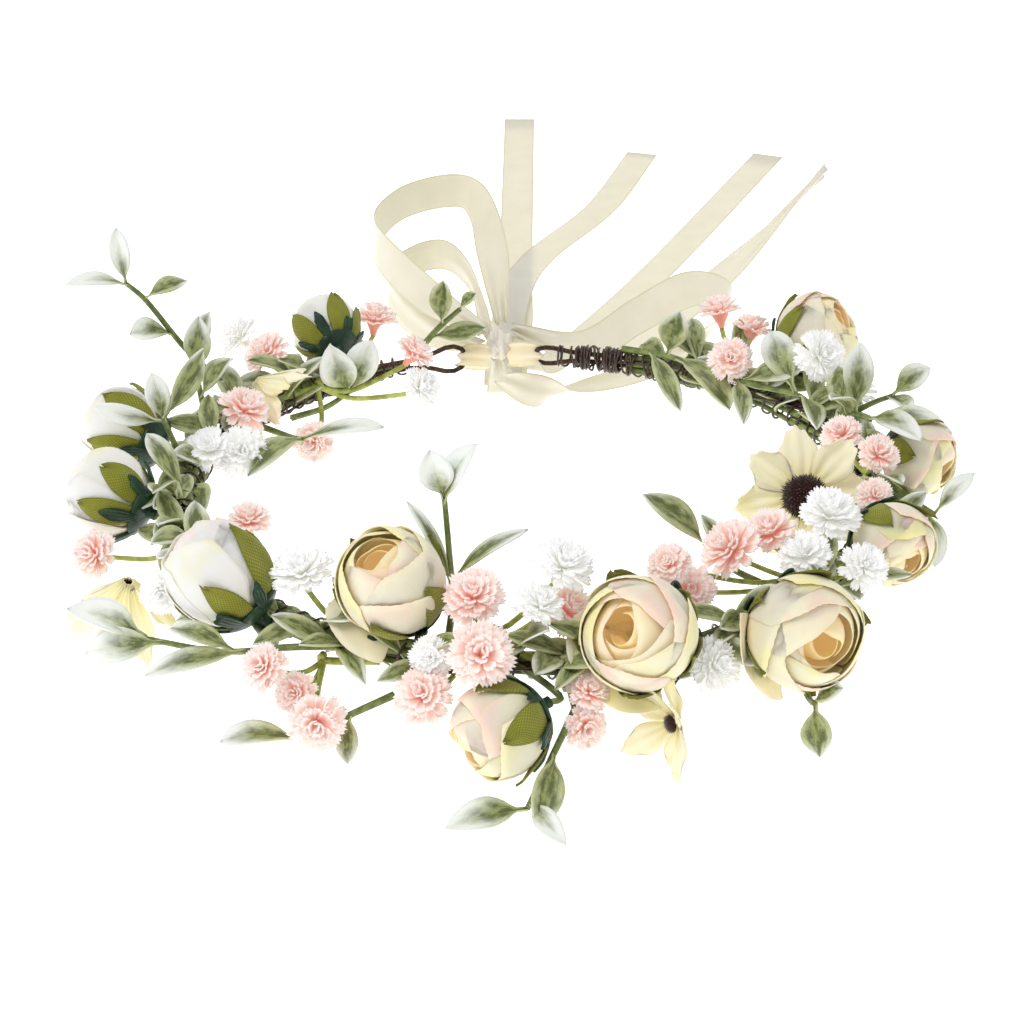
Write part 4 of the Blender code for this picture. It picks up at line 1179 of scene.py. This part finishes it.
# points as (place in millimetres, the way the ribbon's width runs, share of the full width)
TAILS = {
    "tail_01": [((0, 6, -7), (1, 0, 0), 0.4), ((1, 13, -19), (1, 0, 0), 0.8), ((2, 24, 0), (1, 0, 0), 1.0),
                ((5, 76, 0), (1, 0, 0), 1.0), ((5, 132, 0), (1, 0, 0), 1.0), ((6, 288, 0), (1, 0, 0), 1.0)],
    "tail_02": [((-1, 7, -5), (1, 0, 0), 0.4), ((0, 16, -16), (1, 0, 0), 0.8), ((1, 28, 1.2), (1, 0, 0), 1.0),
                ((4, 96, 1.2), (1, -0.2, 0), 1.0), ((13, 136, 1.2), (1, -0.5, 0), 1.0),
                ((37, 187, 0.5), (1, -0.4, 0), 1.0), ((55, 248, 0), (1, -0.3, 0), 1.0)],
    "tail_03": [((2, 7, -3), (1, 0, 0), 0.4), ((8, 20, -13), (1, -0.5, 0), 0.8),
                ((16, 38, 2.4), (1, -0.5, 0), 1.0), ((52, 115, 0.5), (1, -0.45, 0), 1.0),
                ((105, 246, 0), (1, -0.4, 0), 1.0)],
    "tail_04": [((4, 6.5, -1), (0.8, -0.4, 0), 0.4), ((18, 20, -10), (1, -0.9, 0), 0.8),
                ((40, 46, 3.6), (1, -0.9, 0), 1.0), ((78, 117, 1.0), (1, -0.6, 0), 1.0),
                ((125, 220, 3.5), (0.3, -0.2, 1), 0.5)],
}
LOOPS = {
    "bow_loop_left_outer": [
        ((-5, 2.5, 3.5), (0, 0.4, 1), 0.35), ((-25, 20, 10), (0, 0.5, 1), 1.0),
        ((-41, 45, 18), (0, 0.4, 1), 1.0), ((-34, 62, 24), (0, 0, 1), 1.0), ((-16, 68, 27), (0, 0, 1), 1.0),
        ((-7, 60, 25), (0.5, 0.2, 1), 1.0), ((-2, 34, 17), (1, 0.2, 0.6), 0.9),
        ((1, 6, 5.5), (1, 0, 0.2), 0.4)],
    "bow_loop_left_inner": [
        ((-5.5, 4, -2.5), (0, 0.4, 1), 0.35), ((-24, 20, -3.5), (0, 0.5, 1), 0.8),
        ((-37, 42, 2), (0, 0.4, 1), 0.9), ((-31, 54, 6), (0, 0, 1), 0.9), ((-19, 57, 8), (0, 0, 1), 0.9),
        ((-10, 42, 6), (0, 0.2, 1), 0.8), ((-5, 20, 1), (0.6, 0, 1), 0.6), ((-2.5, 7, -1), (0.6, 0, 1), 0.3)],
    "bow_loop_right": [
        ((4.4, 5.8, 3.4), (0, 0.45, 0.9), 0.3), ((27, 14, -7), (0, 0.45, 0.9), 0.9),
        ((46, 31, -3), (0, 0.45, 0.9), 1.0), ((64, 44, 1), (0, 0.45, 0.9), 1.0),
        ((77, 50, -5), (0.2, 0.8, 0.5), 1.0), ((72, 47, -15), (0.4, 1, -0.3), 1.0),
        ((57, 33, -20), (0.6, -0.8, 0), 1.0), ((34, 16, -21), (0.5, -0.8, 0), 1.0),
        ((14, 1, -17), (0.8, 0.5, 0.2), 0.9), ((0.5, -4.5, -9.5), (1, 0.1, 0), 0.6)],
}
print("tails:", len(TAILS), " loops:", len(LOOPS))


# %% Ribbon strips
def strip(name, body, route, widths, seed, gather, replaces, cloth=SATIN, fold=2.2):
    """A strip of ribbon. Where it is drawn in, towards the knot, it keeps its width in small folds."""
    rng = np.random.default_rng(seed)
    columns = 21
    ahead = unit(np.gradient(route, axis=0))
    across = widths - ahead * (widths * ahead).sum(axis=1, keepdims=True)
    half = 0.5 * np.linalg.norm(widths, axis=1)
    across = unit(across)
    normal = np.cross(across, ahead)
    u = np.linspace(-1, 1, columns)
    tight = np.clip(1 - 2 * half / RIBBON_WIDTH, 0, 1)[:, None]
    phase = rng.uniform(0, 6.3, 2)
    folds = tight * fold * MM * np.sin(5.5 * u[None] + phase[0])
    length = np.concatenate([[0], np.cumsum(np.linalg.norm(np.diff(route, axis=0), axis=1))])
    soft = gather * MM * np.sin(length[:, None] / (17 * MM) + phase[1] + 0.8 * u[None]) * (1 - tight)
    spots = (route[:, None] + across[:, None] * (u[None] * half[:, None])[..., None]
             + normal[:, None] * (folds + soft)[..., None])
    piece = Piece(name, body)
    piece.sheet(spots, rise=(length[:, None] / MM) * np.ones((1, columns)))
    made = piece.finish([cloth], "satin", replaces, SATIN_THICKNESS)
    return made, float(length[-1])


def ribbon(name, spec, seed, gather):
    points, widths = [], []
    for number, (at, across, share) in enumerate(spec):
        point = KNOT + Vector(at) * MM
        if name in TAILS and number >= LYING_FROM:
            point.z = TABLE + 0.2 * MM + at[2] * MM
        points.append(point)
        widths.append(Vector(across).normalized() * RIBBON_WIDTH * share)
    steps = 10
    route, widths = smooth_route(points, steps), smooth_route(widths, steps)
    if name in TAILS:
        for number in range(len(route) - 1):
            span = number // steps
            route[number][2] = max(route[number][2], min(points[span].z, points[span + 1].z))
    made, length = strip(name + "_satin", "bow", route, widths, seed, gather, [name])
    print(name, "length, mm:", round(length / MM))


print("ribbon strip ready")

# %% Make the tails and loops
for number, (name, spec) in enumerate(TAILS.items()):
    ribbon(name, spec, 800 + number, 0.0)
for number, (name, spec) in enumerate(LOOPS.items()):
    ribbon(name, spec, 820 + number, 0.35)

# %% [markdown]
# ## The knot and the wire eyes
#
# The knot is the ribbon itself pulled tight: a short band wraps over the place where the loops and tails
# meet, and it crumples across its width. It is drawn as three crossed bands with wrinkles, because a
# simulated knot slips open unless it is tied stitch by stitch. On each side, one turn of ribbon goes round
# the end of a wire loop.


# %% Knot
def knot_wrap(name, seed):
    rng = np.random.default_rng(seed)
    piece = Piece(name, "bow")
    size = knot_high - knot_low
    for tilt, scale, width in ((8, 1.0, 0.62), (-38, 0.93, 0.5), (62, 0.88, 0.5)):
        turn = np.linspace(0, 2 * math.pi, 40, endpoint=False)
        u = np.linspace(-1, 1, 13)
        t, w = np.meshgrid(turn, u, indexing="ij")
        crumple = 0.08 * np.sin(7 * w + rng.uniform(0, 6.3) + 2 * np.sin(t)) + 0.05 * np.sin(3 * t + 4 * w)
        reach = scale * (0.92 - 0.30 * w ** 2 + crumple)
        spots = np.stack([w * width * size.x * 0.62 + 0 * t, reach * 0.56 * size.y * np.cos(t),
                          reach * 0.56 * size.z * np.sin(t)], axis=-1)
        roll = np.array(Matrix.Rotation(math.radians(tilt), 3, "Y"))
        length = np.broadcast_to(np.linspace(0, 28, 40)[:, None], t.shape)
        piece.sheet(np.swapaxes(spots @ roll.T, 0, 1), rise=length.T, across=0.8 * w.T, closed=True)
    piece.place(Matrix.Translation(KNOT))
    return piece.finish([KNOT_SATIN_PAINTED_BRIGHTER], "satin", ["bow_knot"], SATIN_THICKNESS)


knot_wrap("bow_knot_satin", 840)
print("knot at, mm:", [round(c / MM, 1) for c in KNOT])


# %% Wire eyes
def eye_wrap(side, seed):
    """Ribbon that comes out of the knot, goes round the end of a wire loop and comes back."""
    node = "ribbon_eye_" + side
    eye_low, eye_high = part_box(node)
    middle, reach = 0.5 * (eye_low + eye_high), 0.5 * (eye_high - eye_low)
    inward = 1 if middle.x < KNOT.x else -1
    points = []
    for turn in np.radians(np.linspace(20, 340, 12)):
        aside = inward * reach.x * (0.45 + 0.9 * math.cos(turn))
        round_wire = math.sin(turn)
        points.append(middle + Vector((aside, -0.5 * reach.y * round_wire, 0.6 * reach.z * round_wire)))
    route = smooth_route(points, 4)
    share = 0.56 + 0.08 * np.sin(np.linspace(0, 9, len(route)))
    widths = share[:, None] * np.array((0.1, 0.5, 0.85)) * RIBBON_WIDTH
    made, length = strip(node + "_satin", "crown", route, widths, seed, 0.9, [node], EYE_SATIN_PAINTED_WARM, 1.6)
    print(node, "length, mm:", round(length / MM))


eye_wrap("left", 850)
eye_wrap("right", 851)

# %% [markdown]
# ## Table and light
#
# A pale table and a large soft light above and in front give the gentle shading that cloth needs. A small
# lamp or a sun would draw hard shadows over it. The world is white, so that nothing is lost in shadow.

# %% Table
floor = new_object("table", bpy.data.meshes.new("table"))
floor.data.from_pydata([(-3, -3, 0), (3, -3, 0), (3, 3, 0), (-3, 3, 0)], [], [(0, 1, 2, 3)])
floor.location.z = TABLE - 0.1 * MM
paint, tree, shader = start_material("white_table", Roughness=0.9, Specular_IOR_Level=0.1)
shader.inputs["Base Color"].default_value = colour("#FBFBFB")
shader.inputs["Emission Color"].default_value = (1, 1, 1, 1)
shader.inputs["Emission Strength"].default_value = 0.75
floor.data.materials.append(paint)
print("table at, mm:", round(floor.location.z / MM, 1))


# %% Light
def softbox(name, at, size, power):
    lamp = bpy.data.lights.new(name, "AREA")
    lamp.shape = "RECTANGLE"
    lamp.size, lamp.size_y = size
    lamp.energy = power
    made = new_object(name, lamp)
    made.location = at
    made.rotation_euler = (-Vector(at)).to_track_quat("-Z", "Y").to_euler()


softbox("key_light", (-0.6, -0.5, 1.3), (0.9, 0.9), 10)
softbox("back_light", (0.5, 1.0, 0.9), (1.0, 0.6), 3)
world = bpy.data.worlds.new("white_room")
world.use_nodes = True
world.node_tree.nodes["Background"].inputs["Color"].default_value = (1, 1, 1, 1)
world.node_tree.nodes["Background"].inputs["Strength"].default_value = 0.62
bpy.context.scene.world = world
bpy.context.scene.view_settings.view_transform = "Standard"
print("lights, W:", [lamp.energy for lamp in bpy.data.lights])
